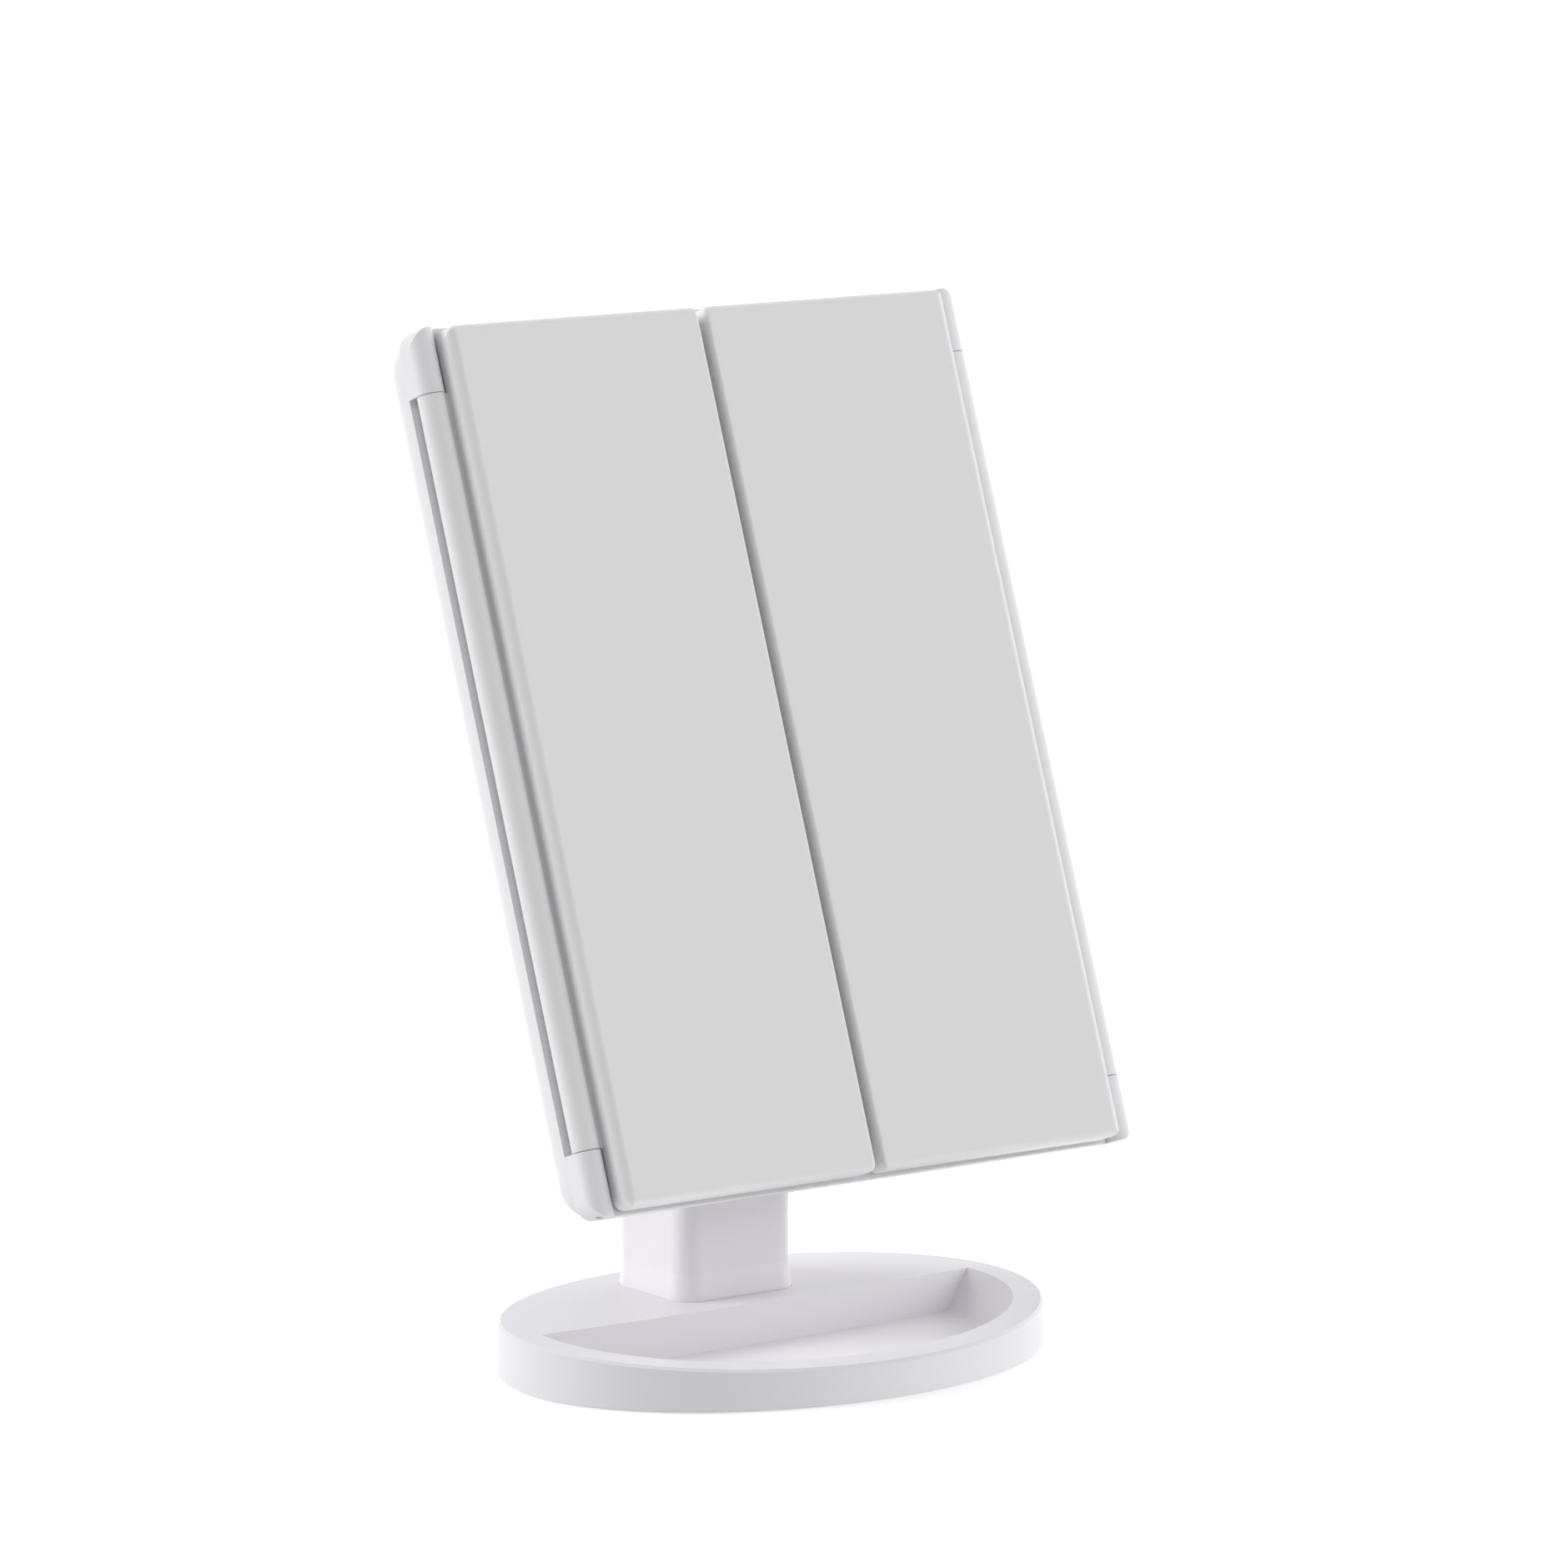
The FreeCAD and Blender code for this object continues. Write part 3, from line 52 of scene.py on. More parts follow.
camera_data = bpy.data.cameras.new("camera")
camera_data.lens = camera_lens
camera_data.sensor_width = camera_sensor
camera_data.clip_end = camera_reach
camera = bpy.data.objects.new("camera", camera_data)
camera.location = camera_place
camera.rotation_euler = (level_view - camera_drop, 0.0, -camera_azimuth)
bpy.context.scene.collection.objects.link(camera)
bpy.context.scene.camera = camera
bpy.context.scene.view_settings.view_transform = "Standard"


# ------------------------------------------------------------------ base shell and neck
# Injection-moulded ABS, white with a faint lilac tinge, satin, with the fine grain of a spark-eroded
# mould. The neck stands in a shallow seat of the crown and its rear cover is let in flush.
stand_bright = (0.803, 0.790, 0.822, 1.0)
stand_shade = (0.785, 0.773, 0.806, 1.0)
shell_roughness = (0.32, 0.40)
shell_coat = 0.12
shell_coat_roughness = 0.28
cloud_lumps = 9.0            # per metre, as all lumps are
flow_lumps = 38.0
flow_depth = 0.0006
flow_strength = 0.06
grain_lumps = 2600.0
grain_depth = 0.00005
grain_strength = 0.25


class Reading:
    """A node's output that can be used in sums: each operator adds the Math node it needs."""

    def __init__(self, tree, socket):
        self.tree = tree
        self.socket = socket

    def maths(self, operation, first, second):
        return self.tree.add("ShaderNodeMath", {"operation": operation}, {0: first, 1: second})

    def __add__(self, other):
        return self.maths("ADD", self, other)

    def __mul__(self, other):
        return self.maths("MULTIPLY", self, other)

    def __sub__(self, other):
        return self.maths("SUBTRACT", self, other)

    def __rsub__(self, other):
        return self.maths("SUBTRACT", other, self)

    def __gt__(self, other):
        return self.maths("GREATER_THAN", self, other)

    def __lt__(self, other):
        return self.maths("LESS_THAN", self, other)

    def __mod__(self, other):
        return self.maths("FLOORED_MODULO", self, other)

    def __neg__(self):
        return self.maths("MULTIPLY", self, -1.0)

    def __abs__(self):
        return self.maths("ABSOLUTE", self, 0.0)

    __radd__ = __add__
    __rmul__ = __mul__

    def between(self, start, end):
        """From start to end, as the reading goes from 0 to 1."""
        return self * (end - start) + start


class Tree:
    """A node tree that is put together one node at a time."""

    def __init__(self, network):
        self.network = network
        self.network.nodes.clear()

    def add(self, kind, settings, sockets, output=0):
        """Add a node, set it, fill or link its sockets and give one output. A list links each item."""
        node = self.network.nodes.new(kind)
        for key, value in settings.items():
            setattr(node, key, value)
        for key, value in sockets.items():
            for source in value if isinstance(value, list) else [value]:
                if isinstance(source, Reading):
                    self.network.links.new(source.socket, node.inputs[key])
                else:
                    node.inputs[key].default_value = source
        return Reading(self, node.outputs[output]) if node.outputs else None


class Finish(Tree):
    """One finish being mixed: a material and its node tree."""

    def __init__(self, name):
        self.material = bpy.data.materials.new(name)
        self.material.use_nodes = True
        super().__init__(self.material.node_tree)
        self.place = self.add("ShaderNodeTexCoord", {}, {}, "Object")

    def noise(self, lumps, detail=2.0):
        """Soft random value around a half."""
        return self.add("ShaderNodeTexNoise", {},
                        {"Vector": self.place, "Scale": lumps, "Detail": detail})

    def blend(self, share, first, second):
        """Mix two colours: sockets 6 and 7 of the node take them and its output 2 gives the mix."""
        return self.add("ShaderNodeMix", {"data_type": "RGBA"}, {0: share, 6: first, 7: second}, 2)

    def bump(self, height, distance, strength, under=None):
        """Relief from a height; under is a coarser or finer relief that it lies on."""
        sockets = {"Height": height, "Distance": distance, "Strength": strength}
        if under is not None:
            sockets["Normal"] = under
        return self.add("ShaderNodeBump", {}, sockets)

    def finish(self, **sockets):
        """End the tree in one shader with these sockets and give the material."""
        named = {key.replace("_", " ").title(): value for key, value in sockets.items()}
        surface = self.add("ShaderNodeBsdfPrincipled", {}, named)
        self.add("ShaderNodeOutputMaterial", {}, {"Surface": surface})
        return self.material


def paint(names, material):
    """Give every named CAD part this material in place of its plain one."""
    for name in names:
        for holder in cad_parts[name].material_slots:
            holder.material = material


def white_plastic(name, bright, shade):
    mix = Finish(name)
    cloud = mix.noise(cloud_lumps)
    skin = mix.bump(mix.noise(grain_lumps), grain_depth, grain_strength)
    skin = mix.bump(mix.noise(flow_lumps), flow_depth, flow_strength, under=skin)
    return mix.finish(base_color=mix.blend(cloud, shade, bright),
                      roughness=cloud.between(*shell_roughness), normal=skin,
                      coat_weight=shell_coat, coat_roughness=shell_coat_roughness)


paint(["base_shell", "neck_shell", "neck_rear_cover"],
      white_plastic("stand_white", stand_bright, stand_shade))


# ------------------------------------------------------------------ underside of the base
# Grey ABS plate screwed up into the shell, with four soft rubber feet pressed into the base, and over
# it a half-moon of cast iron that keeps the stand steady.
plate_grey = (0.235, 0.235, 0.245, 1.0)
plate_dark = (0.205, 0.205, 0.215, 1.0)
iron_dark = (0.045, 0.043, 0.042, 1.0)
iron_pale = (0.115, 0.110, 0.105, 1.0)
iron_roughness = (0.85, 0.60)
iron_shine = 0.6
rubber_dark = (0.030, 0.030, 0.032, 1.0)
rubber_dusty = (0.060, 0.060, 0.062, 1.0)
patch_lumps = 27.0
patch_roughness = 0.1        # what the patches add to the roughness


def grained_plastic(name, bright, shade, roughness, lumps):
    mix = Finish(name)
    patches = mix.noise(patch_lumps)
    grain = mix.noise(lumps, detail=3.0)
    return mix.finish(base_color=mix.blend(patches, shade, bright),
                      roughness=patches * patch_roughness + roughness,
                      normal=mix.bump(grain, distance=0.0001, strength=0.5))


def cast_iron(name):
    mix = Finish(name)
    rust = mix.noise(lumps=60.0, detail=4.0)
    pits = mix.noise(lumps=900.0, detail=5.0)
    return mix.finish(base_color=mix.blend(rust, iron_dark, iron_pale),
                      roughness=pits.between(*iron_roughness), metallic=pits * iron_shine,
                      normal=mix.bump(pits, distance=0.0004, strength=0.9))


paint(["base_bottom_plate"],
      grained_plastic("grey_plastic", plate_grey, plate_dark, roughness=0.50, lumps=1500.0))
paint(["base_weight"], cast_iron("cast_iron"))
paint(["base_feet"],
      grained_plastic("foot_rubber", rubber_dusty, rubber_dark, roughness=0.78, lumps=1900.0))


# ------------------------------------------------------------------ screws
# Zinc-plated steel screws with a domed head and a cross recess: five under the base, one in the
# neck's rear cover and six in the back of the head, the last down round counterbores.
zinc_bright = (0.72, 0.73, 0.75, 1.0)
zinc_shade = (0.56, 0.57, 0.60, 1.0)
zinc_roughness = (0.20, 0.42)
screw_head_radius = 0.0028
screw_head_segments = 28
screw_head_rings = 16
screw_shank_radius = 0.00125
screw_shank_sides = 14
recess_width = 0.30          # one arm's width, of the head's radius
recess_reach = 0.62          # from the middle to an arm's end, of the head's radius
recess_depth = 0.75          # of the head's height
facing_down = math.radians(180)
facing_back = math.radians(-90)

base_screw_angles = (-90.0, -20.0, -160.0, 35.0, 145.0)
base_screw_reach = (0.0713, 0.0505)
base_screw_seat = 0.00155
base_screw_head = 0.00063
base_screw_shank = 0.006
cover_screw_seat = (0.0, 0.0468, 0.02525)
cover_screw_head = 0.0007
cover_screw_shank = 0.008
housing_screw_across = 0.062
housing_screw_seat = 0.0214
housing_screw_heights = (0.032, 0.1196, 0.2072)
housing_screw_head = 0.0016
housing_screw_shank = 0.0098

head_lean = math.radians(19.916)
tilt_axis = Vector((0.0, 0.006, 0.0762))
tilt_axis_in_head = Vector((0.0, 0.0455, 0.035))
head_turn = Matrix.Rotation(-head_lean, 4, "X")
head_to_world = Matrix.Translation(tilt_axis) @ head_turn @ Matrix.Translation(-tilt_axis_in_head)


def plated_steel(name):
    mix = Finish(name)
    bloom = mix.noise(lumps=420.0, detail=4.0)
    grain = mix.noise(lumps=5200.0)
    return mix.finish(base_color=mix.blend(bloom, zinc_shade, zinc_bright), metallic=1.0,
                      roughness=bloom.between(*zinc_roughness),
                      normal=mix.bump(grain, distance=0.00002, strength=0.3))


class Growth(Tree):
    """A geometry tree with named inputs, laid on a mesh whose points say where each copy goes."""

    def __init__(self, name, inputs):
        super().__init__(bpy.data.node_groups.new(name, "GeometryNodeTree"))
        new_socket = self.network.interface.new_socket
        kinds = {"Geometry": "Geometry", **inputs}
        for title, kind in kinds.items():
            new_socket(title, in_out="INPUT", socket_type="NodeSocket" + kind)
        new_socket("Geometry", in_out="OUTPUT", socket_type="NodeSocketGeometry")
        self.inputs = {title: self.add("NodeGroupInput", {}, {}, title) for title in kinds}

    def vector(self, x, y, z):
        return self.add("ShaderNodeCombineXYZ", {}, {0: x, 1: y, 2: z})

    def moved(self, mesh, shift, scale=(1.0, 1.0, 1.0)):
        return self.add("GeometryNodeTransform", {},
                        {0: mesh, "Translation": shift, "Scale": scale})

    def box(self, size, height):
        """Box whose middle is at this height over the point."""
        return self.moved(self.add("GeometryNodeMeshCube", {}, {"Size": size}),
                          self.vector(0.0, 0.0, height))


def screw_growth():
    """Domed head that rises from the point, less its lower half and the cross, on a plain shank."""
    tree = Growth("cross_head_screws",
                  {"Head Radius": "Float", "Head Height": "Float", "Shank Radius": "Float",
                   "Shank Length": "Float", "Turn": "Rotation", "Plating": "Material"})
    radius = tree.inputs["Head Radius"]
    height = tree.inputs["Head Height"]
    ball = tree.add("GeometryNodeMeshUVSphere", {},
                    {"Segments": screw_head_segments, "Rings": screw_head_rings, "Radius": 1.0})
    dome = tree.moved(ball, (0.0, 0.0, 0.0), tree.vector(radius, radius, height))
    width = radius * recess_width
    reach = radius * (2 * recess_reach)
    depth = height * (2 * recess_depth)
    cutters = [tree.box(tree.vector(width, reach, depth), height),
               tree.box(tree.vector(reach, width, depth), height),
               tree.box(tree.vector(radius * 3, radius * 3, height * 2), -height)]
    head = tree.add("GeometryNodeMeshBoolean", {"operation": "DIFFERENCE"}, {0: dome, 1: cutters})
    length = tree.inputs["Shank Length"]
    rod = tree.add("GeometryNodeMeshCylinder", {},
                   {"Vertices": screw_shank_sides, "Radius": tree.inputs["Shank Radius"],
                    "Depth": length})
    shank = tree.moved(rod, tree.vector(0.0, 0.0, length * -0.5))
    one = tree.add("GeometryNodeJoinGeometry", {}, {0: [head, shank]})
    many = tree.add("GeometryNodeInstanceOnPoints", {},
                    {"Points": tree.inputs["Geometry"], "Instance": one,
                     "Rotation": tree.inputs["Turn"]})
    real = tree.add("GeometryNodeRealizeInstances", {}, {0: many})
    plated = tree.add("GeometryNodeSetMaterial", {},
                      {0: real, "Material": tree.inputs["Plating"]})
    tree.add("NodeGroupOutput", {}, {0: plated})
    return tree.network


def mesh_piece(name, mesh):
    piece = bpy.data.objects.new(name, mesh)
    bpy.context.scene.collection.objects.link(piece)
    return piece


def grown(name, growth, points, values):
    """Lay the tree on these points, with these inputs, and keep the result as a plain mesh."""
    seats = bpy.data.meshes.new(name + "_seats")
    seats.from_pydata([tuple(point) for point in points], [], [])
    piece = mesh_piece(name, seats)
    modifier = piece.modifiers.new("growth", "NODES")
    modifier.node_group = growth
    for item in growth.interface.items_tree:
        if item.in_out == "INPUT" and item.name in values:
            modifier[item.identifier] = values[item.name]
    evaluated = piece.evaluated_get(bpy.context.evaluated_depsgraph_get())
    solid = bpy.data.meshes.new_from_object(evaluated)
    piece.modifiers.remove(modifier)
    piece.data = solid
    return piece


def screws(node, body, points, turn, head_height, shank_length):
    """Stand for a node of screws on these seats; turn tips their heads back from straight up."""
    piece = grown(node + "_cross_heads", screw_tree, points,
                  {"Head Radius": screw_head_radius, "Head Height": head_height,
                   "Shank Radius": screw_shank_radius, "Shank Length": shank_length,
                   "Turn": (turn, 0.0, 0.0), "Plating": steel})
    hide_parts(node)
    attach(piece, body)


def base_screw_place(angle):
    return (base_screw_reach[0] * math.cos(math.radians(angle)),
            base_screw_reach[1] * math.sin(math.radians(angle)), base_screw_seat)


steel = plated_steel("plated_steel")
screw_tree = screw_growth()
paint(["neck_foot_screws", "board_screws"], steel)

screws("base_screws", "stand", [base_screw_place(angle) for angle in base_screw_angles],
       facing_down, base_screw_head, base_screw_shank)
screws("neck_cover_screw", "stand", [cover_screw_seat],
       facing_back, cover_screw_head, cover_screw_shank)
screws("housing_screws", "head",
       [head_to_world @ Vector((across, housing_screw_seat, height))
        for across in (-housing_screw_across, housing_screw_across)
        for height in housing_screw_heights],
       facing_back - head_lean, housing_screw_head, housing_screw_shank)


# ------------------------------------------------------------------ tilt hinge
# Ground steel shaft through the neck's eye, held by a hex nut, with an acetal friction washer on each
# side. The wings' hinge pins are of the same steel.
ground_bright = (0.66, 0.66, 0.67, 1.0)
ground_shade = (0.50, 0.50, 0.52, 1.0)
ground_roughness = (0.18, 0.33)
ground_lumps = (9000.0, 600.0, 600.0)        # along x, y and z: fine rings round the shaft
acetal_bright = (0.78, 0.77, 0.73, 1.0)
acetal_shade = (0.74, 0.73, 0.69, 1.0)


def drawn_out_noise(mix, lumps):
    """Soft random value with its own number of lumps along each axis."""
    stretched = mix.add("ShaderNodeMapping", {}, {"Vector": mix.place, "Scale": lumps})
    return mix.add("ShaderNodeTexNoise", {}, {"Vector": stretched, "Scale": 1.0, "Detail": 2.0})


def ground_steel(name):
    mix = Finish(name)
    rings = drawn_out_noise(mix, ground_lumps)
    return mix.finish(base_color=mix.blend(rings, ground_shade, ground_bright), metallic=1.0,
                      roughness=rings.between(*ground_roughness),
                      normal=mix.bump(rings, distance=0.00001, strength=0.25))


paint(["tilt_shaft", "hinge_pins", "shaft_nut"], ground_steel("ground_steel"))
paint(["friction_washers"],
      grained_plastic("acetal", acetal_bright, acetal_shade, roughness=0.42, lumps=2100.0))


# ------------------------------------------------------------------ head shells
# Front frame with the hinge knuckles, rear housing with the two ears, battery door, and the caps
# pressed into the ears: the same satin ABS as the stand, screwed together from behind.
head_bright = (0.814, 0.806, 0.828, 1.0)
head_shade = (0.797, 0.790, 0.812, 1.0)
paint(["front_frame", "rear_housing", "battery_door", "pivot_caps"],
      white_plastic("head_white", head_bright, head_shade))


# ------------------------------------------------------------------ wings
# Two covers with the barrel of the hinge along the outer edge, and inside each a white frame that
# holds its mirrors. Same ABS, a shade more neutral.
wing_bright = (0.812, 0.811, 0.819, 1.0)
wing_shade = (0.796, 0.795, 0.804, 1.0)
paint(["left_wing_cover", "right_wing_cover", "left_wing_frame", "right_wing_frame"],
      white_plastic("wing_white", wing_bright, wing_shade))


# ------------------------------------------------------------------ mirrors
# Float glass, silvered on the back, with a ground arris round its edge: one plane mirror in the head,
# one in the right wing, and two dished ones in the left wing that magnify. Glued into their frames.
silver_bright = (0.900, 0.910, 0.905, 1.0)
silver_shade = (0.885, 0.897, 0.892, 1.0)
silver_roughness = (0.006, 0.018)
edge_green = (0.235, 0.360, 0.315, 1.0)
edge_pale = (0.430, 0.560, 0.510, 1.0)
edge_roughness = (0.12, 0.42)
arris = 0.0004
dish_radius = 1.6
dish_cuts = 23
same_point = 0.00001
same_plane = math.radians(1)
silvered_lean = 0.95         # cosine of the most that a silvered facet turns from straight ahead
head_front = (0, -1, 0)
wing_inside = (0, 1, 0)


def silvered_glass(name):
    mix = Finish(name)
    haze = mix.noise(lumps=14.0, detail=3.0)
    return mix.finish(base_color=mix.blend(haze, silver_shade, silver_bright), metallic=1.0,
                      roughness=haze.between(*silver_roughness),
                      coat_weight=0.3, coat_roughness=0.01)


def glass_edge(name):
    mix = Finish(name)
    streaks = mix.noise(lumps=700.0, detail=3.0)
    return mix.finish(base_color=mix.blend(streaks, edge_green, edge_pale),
                      roughness=streaks.between(*edge_roughness),
                      normal=mix.bump(streaks, distance=0.00005, strength=0.3))


def mirror_plate(node, body, facing, dished):
    """Plate with an arris from the CAD plate's own corners; facing is its silvered way, in the head."""
    outward = (head_turn @ Vector(facing)).normalized()
    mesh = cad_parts[node].data.copy()
    shape = bmesh.new()
    shape.from_mesh(mesh)
    bmesh.ops.remove_doubles(shape, verts=shape.verts, dist=same_point)
    bmesh.ops.dissolve_limit(shape, angle_limit=same_plane, verts=shape.verts, edges=shape.edges)
    bmesh.ops.bevel(shape, geom=list(shape.edges), offset=arris, segments=1, affect="EDGES")
    shape.normal_update()
    shape.faces.ensure_lookup_table()
    front = max(shape.faces, key=lambda face: face.calc_area() * max(face.normal.dot(outward), 0.0))
    if dished:
        middle = front.calc_center_median()
        rim = max((vertex.co - middle).length for vertex in front.verts)
        bmesh.ops.subdivide_edges(shape, edges=list(front.edges), cuts=dish_cuts, use_grid_fill=True)
        for vertex in shape.verts:
            away = vertex.co - middle
            if abs(away.dot(outward)) < arris / 10:
                vertex.co -= outward * (rim ** 2 - away.length_squared) / (2 * dish_radius)
    shape.normal_update()
    for face in shape.faces:
        silvered = face.normal.dot(outward) > silvered_lean
        face.material_index = 0 if silvered else 1
        face.smooth = silvered
    shape.to_mesh(mesh)
    shape.free()
    mesh.materials.clear()
    mesh.materials.append(silver)
    mesh.materials.append(green_edge)
    piece = mesh_piece(node + "_plate", mesh)
    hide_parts(node)
    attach(piece, body)


silver = silvered_glass("silvered_glass")
green_edge = glass_edge("glass_edge")
mirror_plate("center_mirror", "head", head_front, dished=False)
mirror_plate("right_mirror", "right_wing", wing_inside, dished=False)
mirror_plate("left_mirror_upper", "left_wing", wing_inside, dished=True)
mirror_plate("left_mirror_lower", "left_wing", wing_inside, dished=True)


# ------------------------------------------------------------------ touch mark
# Frosted ring on the middle mirror that shows where to touch it for light. The spring contact of the
# control board presses on the glass behind.
mark_radius = 0.0042
mark_line = 0.0005
mark_thickness = 0.00004
mark_sides = 64
mark_height = 0.030
glass_face = 0.0086          # depth of the glass's front in the head
frost_white = (0.70, 0.71, 0.71, 1.0)
frost_grey = (0.58, 0.59, 0.59, 1.0)
frost_roughness = (0.75, 0.55)


def frosted(name):
    mix = Finish(name)
    etch = mix.noise(lumps=6000.0, detail=3.0)
    return mix.finish(base_color=mix.blend(etch, frost_grey, frost_white),
                      roughness=etch.between(*frost_roughness),
                      normal=mix.bump(etch, distance=0.00002, strength=0.5))


def ring_band(outer, inner, near, far, sides):
    """Closed flat ring round the head's y axis, from depth near to depth far."""
    corners = []
    for turn in range(sides):
        angle = 2 * math.pi * turn / sides
        for radius, depth in ((outer, near), (inner, near), (inner, far), (outer, far)):
            corners.append((radius * math.cos(angle), depth, radius * math.sin(angle)))
    faces = []
    for turn in range(sides):
        here, there = 4 * turn, 4 * ((turn + 1) % sides)
        for corner in range(4):
            following = (corner + 1) % 4
            faces.append((here + corner, here + following, there + following, there + corner))
    mesh = bpy.data.meshes.new("ring")
    mesh.from_pydata(corners, [], faces)
    shape = bmesh.new()
    shape.from_mesh(mesh)
    bmesh.ops.recalc_face_normals(shape, faces=shape.faces)
    shape.to_mesh(mesh)
    shape.free()
    return mesh


mark_mesh = ring_band(mark_radius, mark_radius - mark_line,
                      glass_face - mark_thickness, glass_face, mark_sides)
mark_mesh.transform(head_to_world @ Matrix.Translation((0.0, 0.0, mark_height)))
mark_mesh.materials.append(frosted("frosted_mark"))
touch_mark = mesh_piece("touch_mark", mark_mesh)
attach(touch_mark, "head")


# ------------------------------------------------------------------ light strips
# Opal acrylic windows with fine prisms moulded across them. Behind each, a white board with a row of
# small lamps under yellow phosphor, and flat leads down to the control board.
opal_bright = (0.83, 0.83, 0.80, 1.0)
opal_shade = (0.80, 0.80, 0.77, 1.0)
prism_pitch = 0.0012
mask_white = (0.80, 0.81, 0.78, 1.0)
copper_pad = (0.72, 0.55, 0.35, 1.0)
phosphor = (0.78, 0.66, 0.16, 1.0)
lamp_body = (0.84, 0.84, 0.82, 1.0)
lamp_face = 0.01198          # depth in the head, just in front of the board's face
lamp_pitch = 0.190800 / 15
lamp_first = 0.024
lamp_roughness = (0.45, 0.25)                # of the board and of a lamp
phosphor_half = 0.0011
pad_start = 0.0024           # from a lamp's middle along the board
pad_end = 0.0034
pad_half = 0.0016
pad_shine = 0.8
strip_middle = 0.074
lead_film = (0.62, 0.63, 0.66, 1.0)
lead_copper = (0.66, 0.42, 0.26, 1.0)
lead_bottom = 0.038
lead_pitch = 0.0005
lead_half = 0.00014
lead_show = 0.8              # how much of the copper shows through the film


class HeadFinish(Finish):
    """A finish whose pattern is set out along the leaning head: x across, y deep, z up it."""

    def __init__(self, name):
        super().__init__(name)
        turned_back = Matrix.Rotation(head_lean, 3, "X") @ tilt_axis
        self.place = self.add("ShaderNodeMapping", {},
                              {"Vector": self.place, "Rotation": (head_lean, 0.0, 0.0),
                               "Location": tilt_axis_in_head - turned_back})
        self.across, self.deep, self.up = (
            self.add("ShaderNodeSeparateXYZ", {}, {0: self.place}, axis) for axis in range(3))


def within(reading, low, high):
    return (reading > low) * (reading < high)


def from_middle(reading, pitch):
    """Signed distance of a place from the middle of the pitch that it lies in."""
    return reading % pitch - pitch / 2


def opal_acrylic(name):
    mix = HeadFinish(name)
    ridge = abs(from_middle(mix.up, prism_pitch)) * (2 / prism_pitch)
    return mix.finish(base_color=mix.blend(mix.noise(lumps=120.0), opal_shade, opal_bright),
                      roughness=0.38, normal=mix.bump(ridge, distance=0.0002, strength=0.6),
                      coat_weight=0.2, coat_roughness=0.2)


def lamp_board(name):
    mix = HeadFinish(name)
    on_lamp = mix.deep < lamp_face
    sideways = abs(mix.across) - strip_middle
    along = from_middle(mix.up - lamp_first, lamp_pitch)
    glow = (within(sideways, -phosphor_half, phosphor_half)
            * within(along, -phosphor_half, phosphor_half))
    pad = within(abs(along), pad_start, pad_end) * within(sideways, -pad_half, pad_half)
    lamp = mix.blend(glow, lamp_body, phosphor)
    board = mix.blend(pad, mask_white, copper_pad)
    return mix.finish(base_color=mix.blend(on_lamp, board, lamp),
                      roughness=on_lamp.between(*lamp_roughness), metallic=pad * pad_shine,
                      normal=mix.bump(mix.noise(lumps=1800.0), distance=0.00005, strength=0.3))


def ribbon(name):
    mix = HeadFinish(name)
    wire = abs(from_middle(mix.up - lead_bottom, lead_pitch)) < lead_half
    return mix.finish(base_color=mix.blend(wire * lead_show, lead_film, lead_copper),
                      roughness=0.32, normal=mix.bump(wire, distance=0.00008, strength=0.5))


paint(["light_window_right", "light_window_left"], opal_acrylic("opal_acrylic"))
paint(["led_board_right", "led_board_left"], lamp_board("lamp_board"))
paint(["flex_cables"], ribbon("ribbon_lead"))


# ------------------------------------------------------------------ batteries and contacts
# Four plain cells in a shrunk sleeve, each between a bent leaf and a dished plate of nickelled
# spring steel that stand in the bay's end walls.
sleeve_blue = (0.085, 0.115, 0.175, 1.0)
sleeve_band = (0.62, 0.63, 0.65, 1.0)
sleeve_roughness = (0.30, 0.40)
can_steel = (0.60, 0.60, 0.61, 1.0)
band_start = 0.0135          # from the cell's middle, and so is the sleeve's end
sleeve_end = 0.0205
nickel_bright = (0.66, 0.63, 0.57, 1.0)
nickel_shade = (0.52, 0.49, 0.44, 1.0)
nickel_roughness = (0.16, 0.36)


def cell_sleeve(name):
    mix = HeadFinish(name)
    far = abs(mix.across)
    bare = far > sleeve_end
    sleeve = mix.blend(far > band_start, sleeve_blue, sleeve_band)
    return mix.finish(base_color=mix.blend(bare, sleeve, can_steel), metallic=bare,
                      roughness=mix.noise(lumps=300.0).between(*sleeve_roughness),
                      normal=mix.bump(mix.noise(lumps=500.0), distance=0.00005, strength=0.2))


def nickelled(name):
    mix = Finish(name)
    tarnish = mix.noise(lumps=350.0, detail=4.0)
    return mix.finish(base_color=mix.blend(tarnish, nickel_shade, nickel_bright), metallic=1.0,
                      roughness=tarnish.between(*nickel_roughness),
                      normal=mix.bump(mix.noise(lumps=4200.0), distance=0.00002, strength=0.25))


paint(["batteries"], cell_sleeve("cell_sleeve"))
paint(["battery_springs", "battery_plates", "touch_contact"], nickelled("nickelled_steel"))


# ------------------------------------------------------------------ boards, socket, switch, bumpers
# Glass-epoxy boards under green solder mask with black parts on the back, a drawn steel charging
# socket, and a slide switch of black acetal whose ribbed slider shows in the back wall. Clear rubber
# bumpers on the frame take the closed wings.
mask_green = (0.020, 0.130, 0.060, 1.0)
track_green = (0.050, 0.230, 0.110, 1.0)
track_pitch = 0.0016
track_width = 0.09           # of the pitch, and so are the two below
track_length = 3.0
track_row = 0.5
track_shift = 0.37           # how far every other row of tracks is moved along, and how it is squeezed
track_squash = 0.6
chip_black = (0.022, 0.022, 0.024, 1.0)
chip_start = 0.01585         # depths in the head between which the parts on the boards lie
chip_end = 0.0195
board_roughness = (0.28, 0.58)               # of the solder mask and of a part
socket_bright = (0.68, 0.68, 0.69, 1.0)
socket_shade = (0.52, 0.52, 0.54, 1.0)
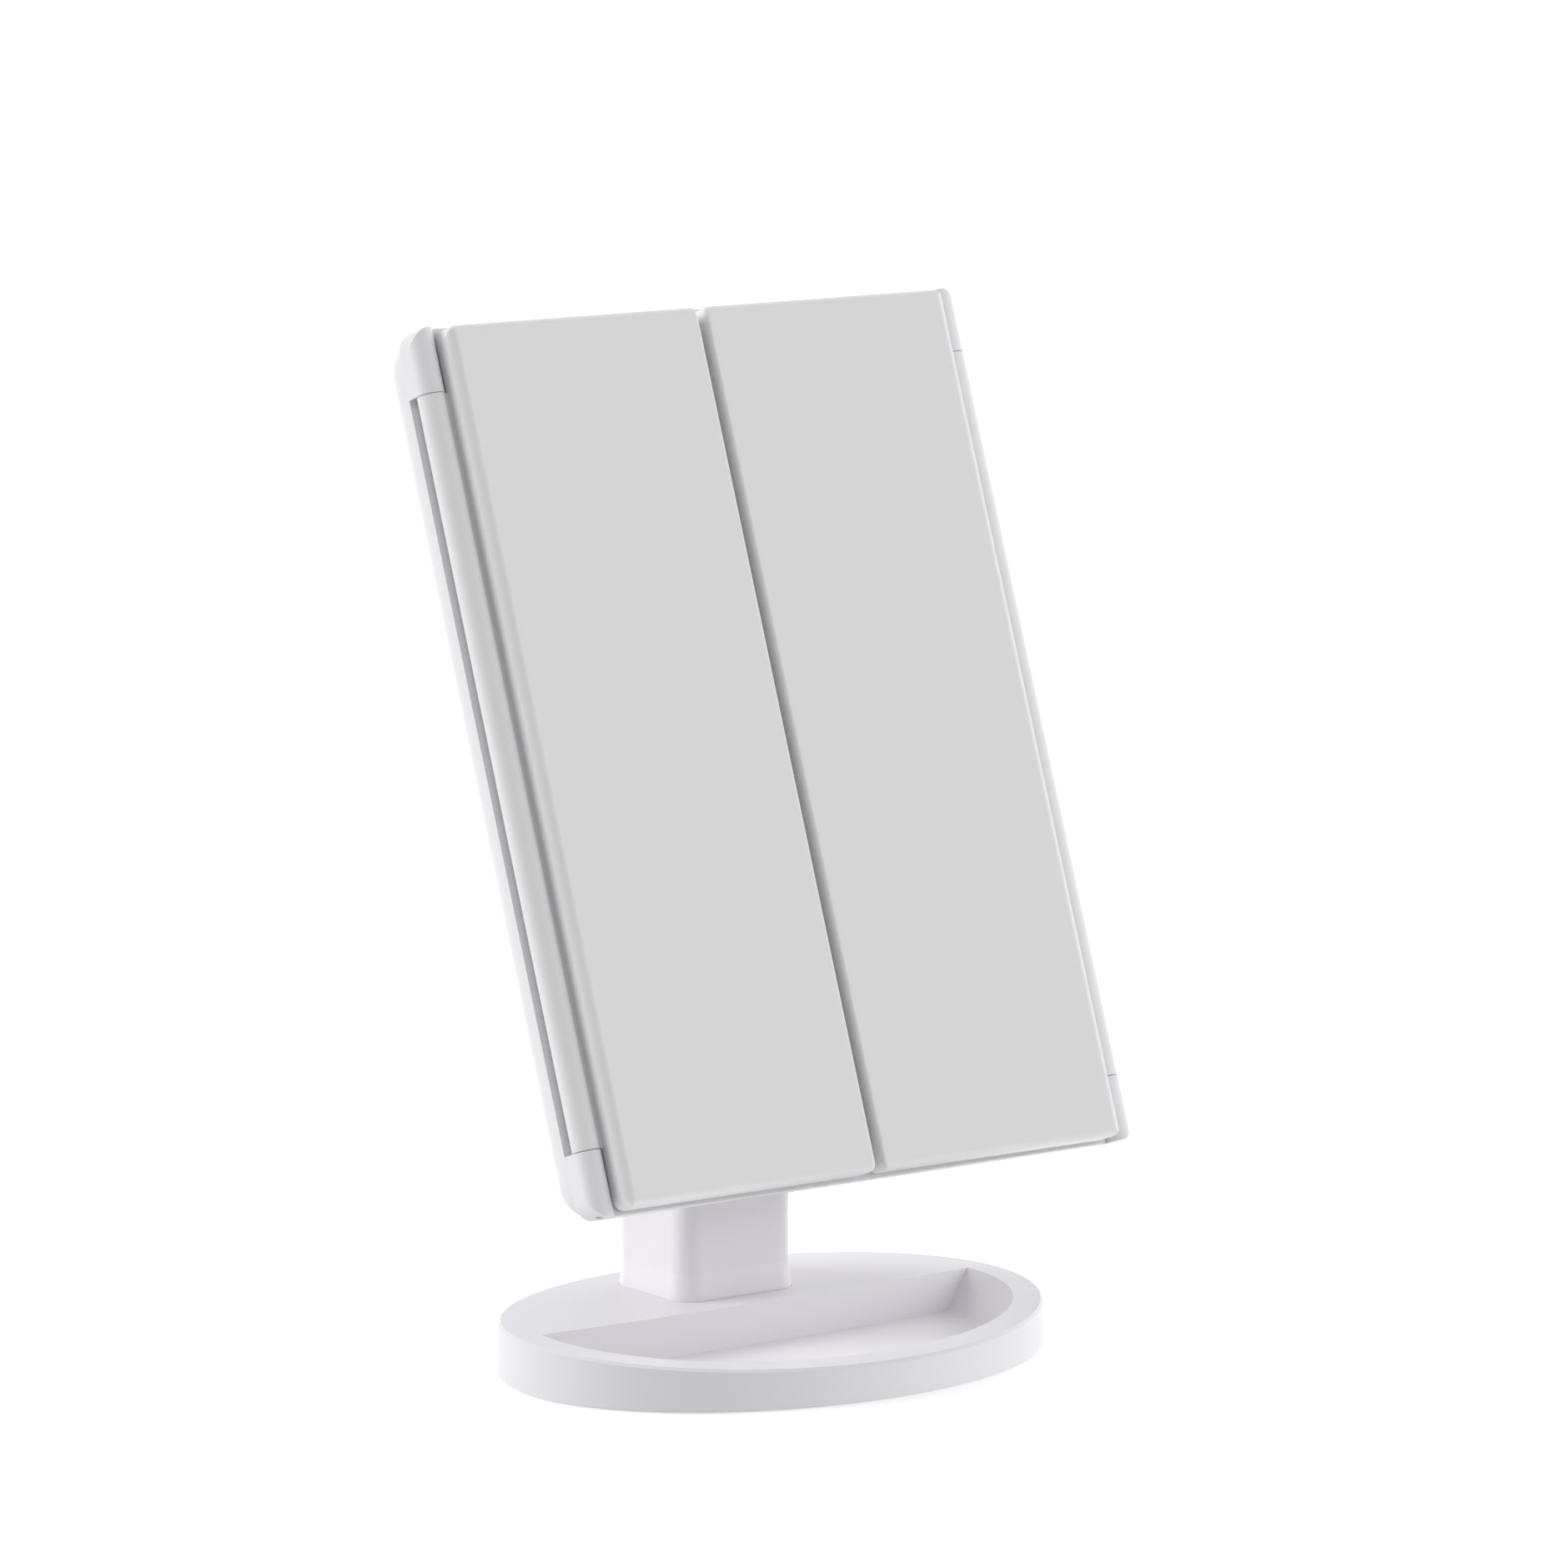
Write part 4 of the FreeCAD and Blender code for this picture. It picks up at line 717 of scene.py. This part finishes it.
socket_roughness = (0.22, 0.42)
socket_lumps = (500.0, 7000.0, 7000.0)       # along x, y and z: drawn along x
slider_black = (0.028, 0.028, 0.030, 1.0)
slider_worn = (0.050, 0.050, 0.053, 1.0)
bumper_clear = (0.62, 0.63, 0.64, 1.0)
bumper_shade = (0.55, 0.56, 0.57, 1.0)


def green_board(name):
    mix = HeadFinish(name)
    laid_flat = mix.add("ShaderNodeMapping", {},
                        {"Vector": mix.place, "Rotation": (math.radians(90), 0.0, 0.0)})
    tracks = mix.add("ShaderNodeTexBrick", {"offset": track_shift, "squash": track_squash},
                     {"Vector": laid_flat, "Scale": 1 / track_pitch, "Mortar Size": track_width,
                      "Brick Width": track_length, "Row Height": track_row}, "Fac")
    chip = within(mix.deep, chip_start, chip_end)
    copper = mix.blend(tracks, mask_green, track_green)
    return mix.finish(base_color=mix.blend(chip, copper, chip_black),
                      roughness=chip.between(*board_roughness),
                      normal=mix.bump(tracks, distance=0.00004, strength=0.4))


def drawn_steel(name):
    mix = Finish(name)
    lines = drawn_out_noise(mix, socket_lumps)
    return mix.finish(base_color=mix.blend(lines, socket_shade, socket_bright), metallic=1.0,
                      roughness=lines.between(*socket_roughness),
                      normal=mix.bump(lines, distance=0.00001, strength=0.3))


paint(["control_board", "charge_board"], green_board("green_board"))
paint(["charge_socket"], drawn_steel("drawn_steel"))
paint(["switch_body", "switch_knob"],
      grained_plastic("black_acetal", slider_worn, slider_black, roughness=0.40, lumps=2400.0))
paint(["wing_bumpers"],
      grained_plastic("bumper_rubber", bumper_clear, bumper_shade, roughness=0.45, lumps=1200.0))


# ------------------------------------------------------------------ floor and light
# White sweep that the mirror stands on, lit a little from below, in a light tent: broad soft lights
# at the back, the sides and the front right, and two for what the sweep throws back up. The lights
# stand behind the tent's cloth, so that only the cloth shows in the mirrors.
floor_half = 40.0
floor_white = (0.94, 0.94, 0.94, 1.0)
floor_roughness = 0.9
floor_glow = 0.27
plain_white = (1.0, 1.0, 1.0, 1.0)
tent_strength = 0.40
tent_horizon = 0.95          # what gloss and mirrors see of the tent, white low down and grey overhead
tent_fall = 0.75
tent_lights = {              # towards the light, how bright it alone makes a white card, its spread
    "back_left": ((-0.70, 0.70, 0.50), 0.328, 25.0),
    "side_left": ((-0.90, 0.35, 0.50), 0.413, 30.0),
    "back_right": ((0.70, 0.70, 0.50), 0.124, 60.0),
    "side_right": ((0.90, 0.35, 0.50), 0.254, 50.0),
    "front_right": ((0.75, -0.65, 0.35), 0.540, 60.0),
    "sweep_front": ((0.00, -0.35, -1.00), 0.297, 50.0),
    "sweep": ((0.00, 0.00, -1.00), 0.107, 35.0),
}

floor_corners = [(-floor_half, -floor_half, 0), (floor_half, -floor_half, 0),
                 (floor_half, floor_half, 0), (-floor_half, floor_half, 0)]
floor_mesh = bpy.data.meshes.new("floor")
floor_mesh.from_pydata(floor_corners, [], [(0, 1, 2, 3)])
sweep = Finish("floor_paper")
floor_mesh.materials.append(sweep.finish(base_color=floor_white, roughness=floor_roughness,
                                         emission_color=plain_white, emission_strength=floor_glow))
floor = mesh_piece("floor", floor_mesh)
floor.visible_diffuse = False
floor.visible_shadow = False

for title, (towards, share, spread) in tent_lights.items():
    light = bpy.data.lights.new(title, "SUN")
    light.energy = share * math.pi
    light.angle = math.radians(spread)
    lamp = bpy.data.objects.new(title, light)
    lamp.visible_glossy = False
    lamp.rotation_euler = Vector(towards).to_track_quat("Z", "Y").to_euler()
    bpy.context.scene.collection.objects.link(lamp)

world = bpy.data.worlds.new("tent")
bpy.context.scene.world = world
world.use_nodes = True
tent = Tree(world.node_tree)
direction = tent.add("ShaderNodeTexCoord", {}, {}, "Generated")
up = tent.add("ShaderNodeSeparateXYZ", {}, {0: direction}, "Z")
mirrored = tent.add("ShaderNodeLightPath", {}, {}, "Is Glossy Ray")
shown = mirrored * (tent_horizon - tent_strength - up * tent_fall) + tent_strength
background = tent.add("ShaderNodeBackground", {}, {"Color": plain_white, "Strength": shown})
tent.add("ShaderNodeOutputWorld", {}, {"Surface": background})
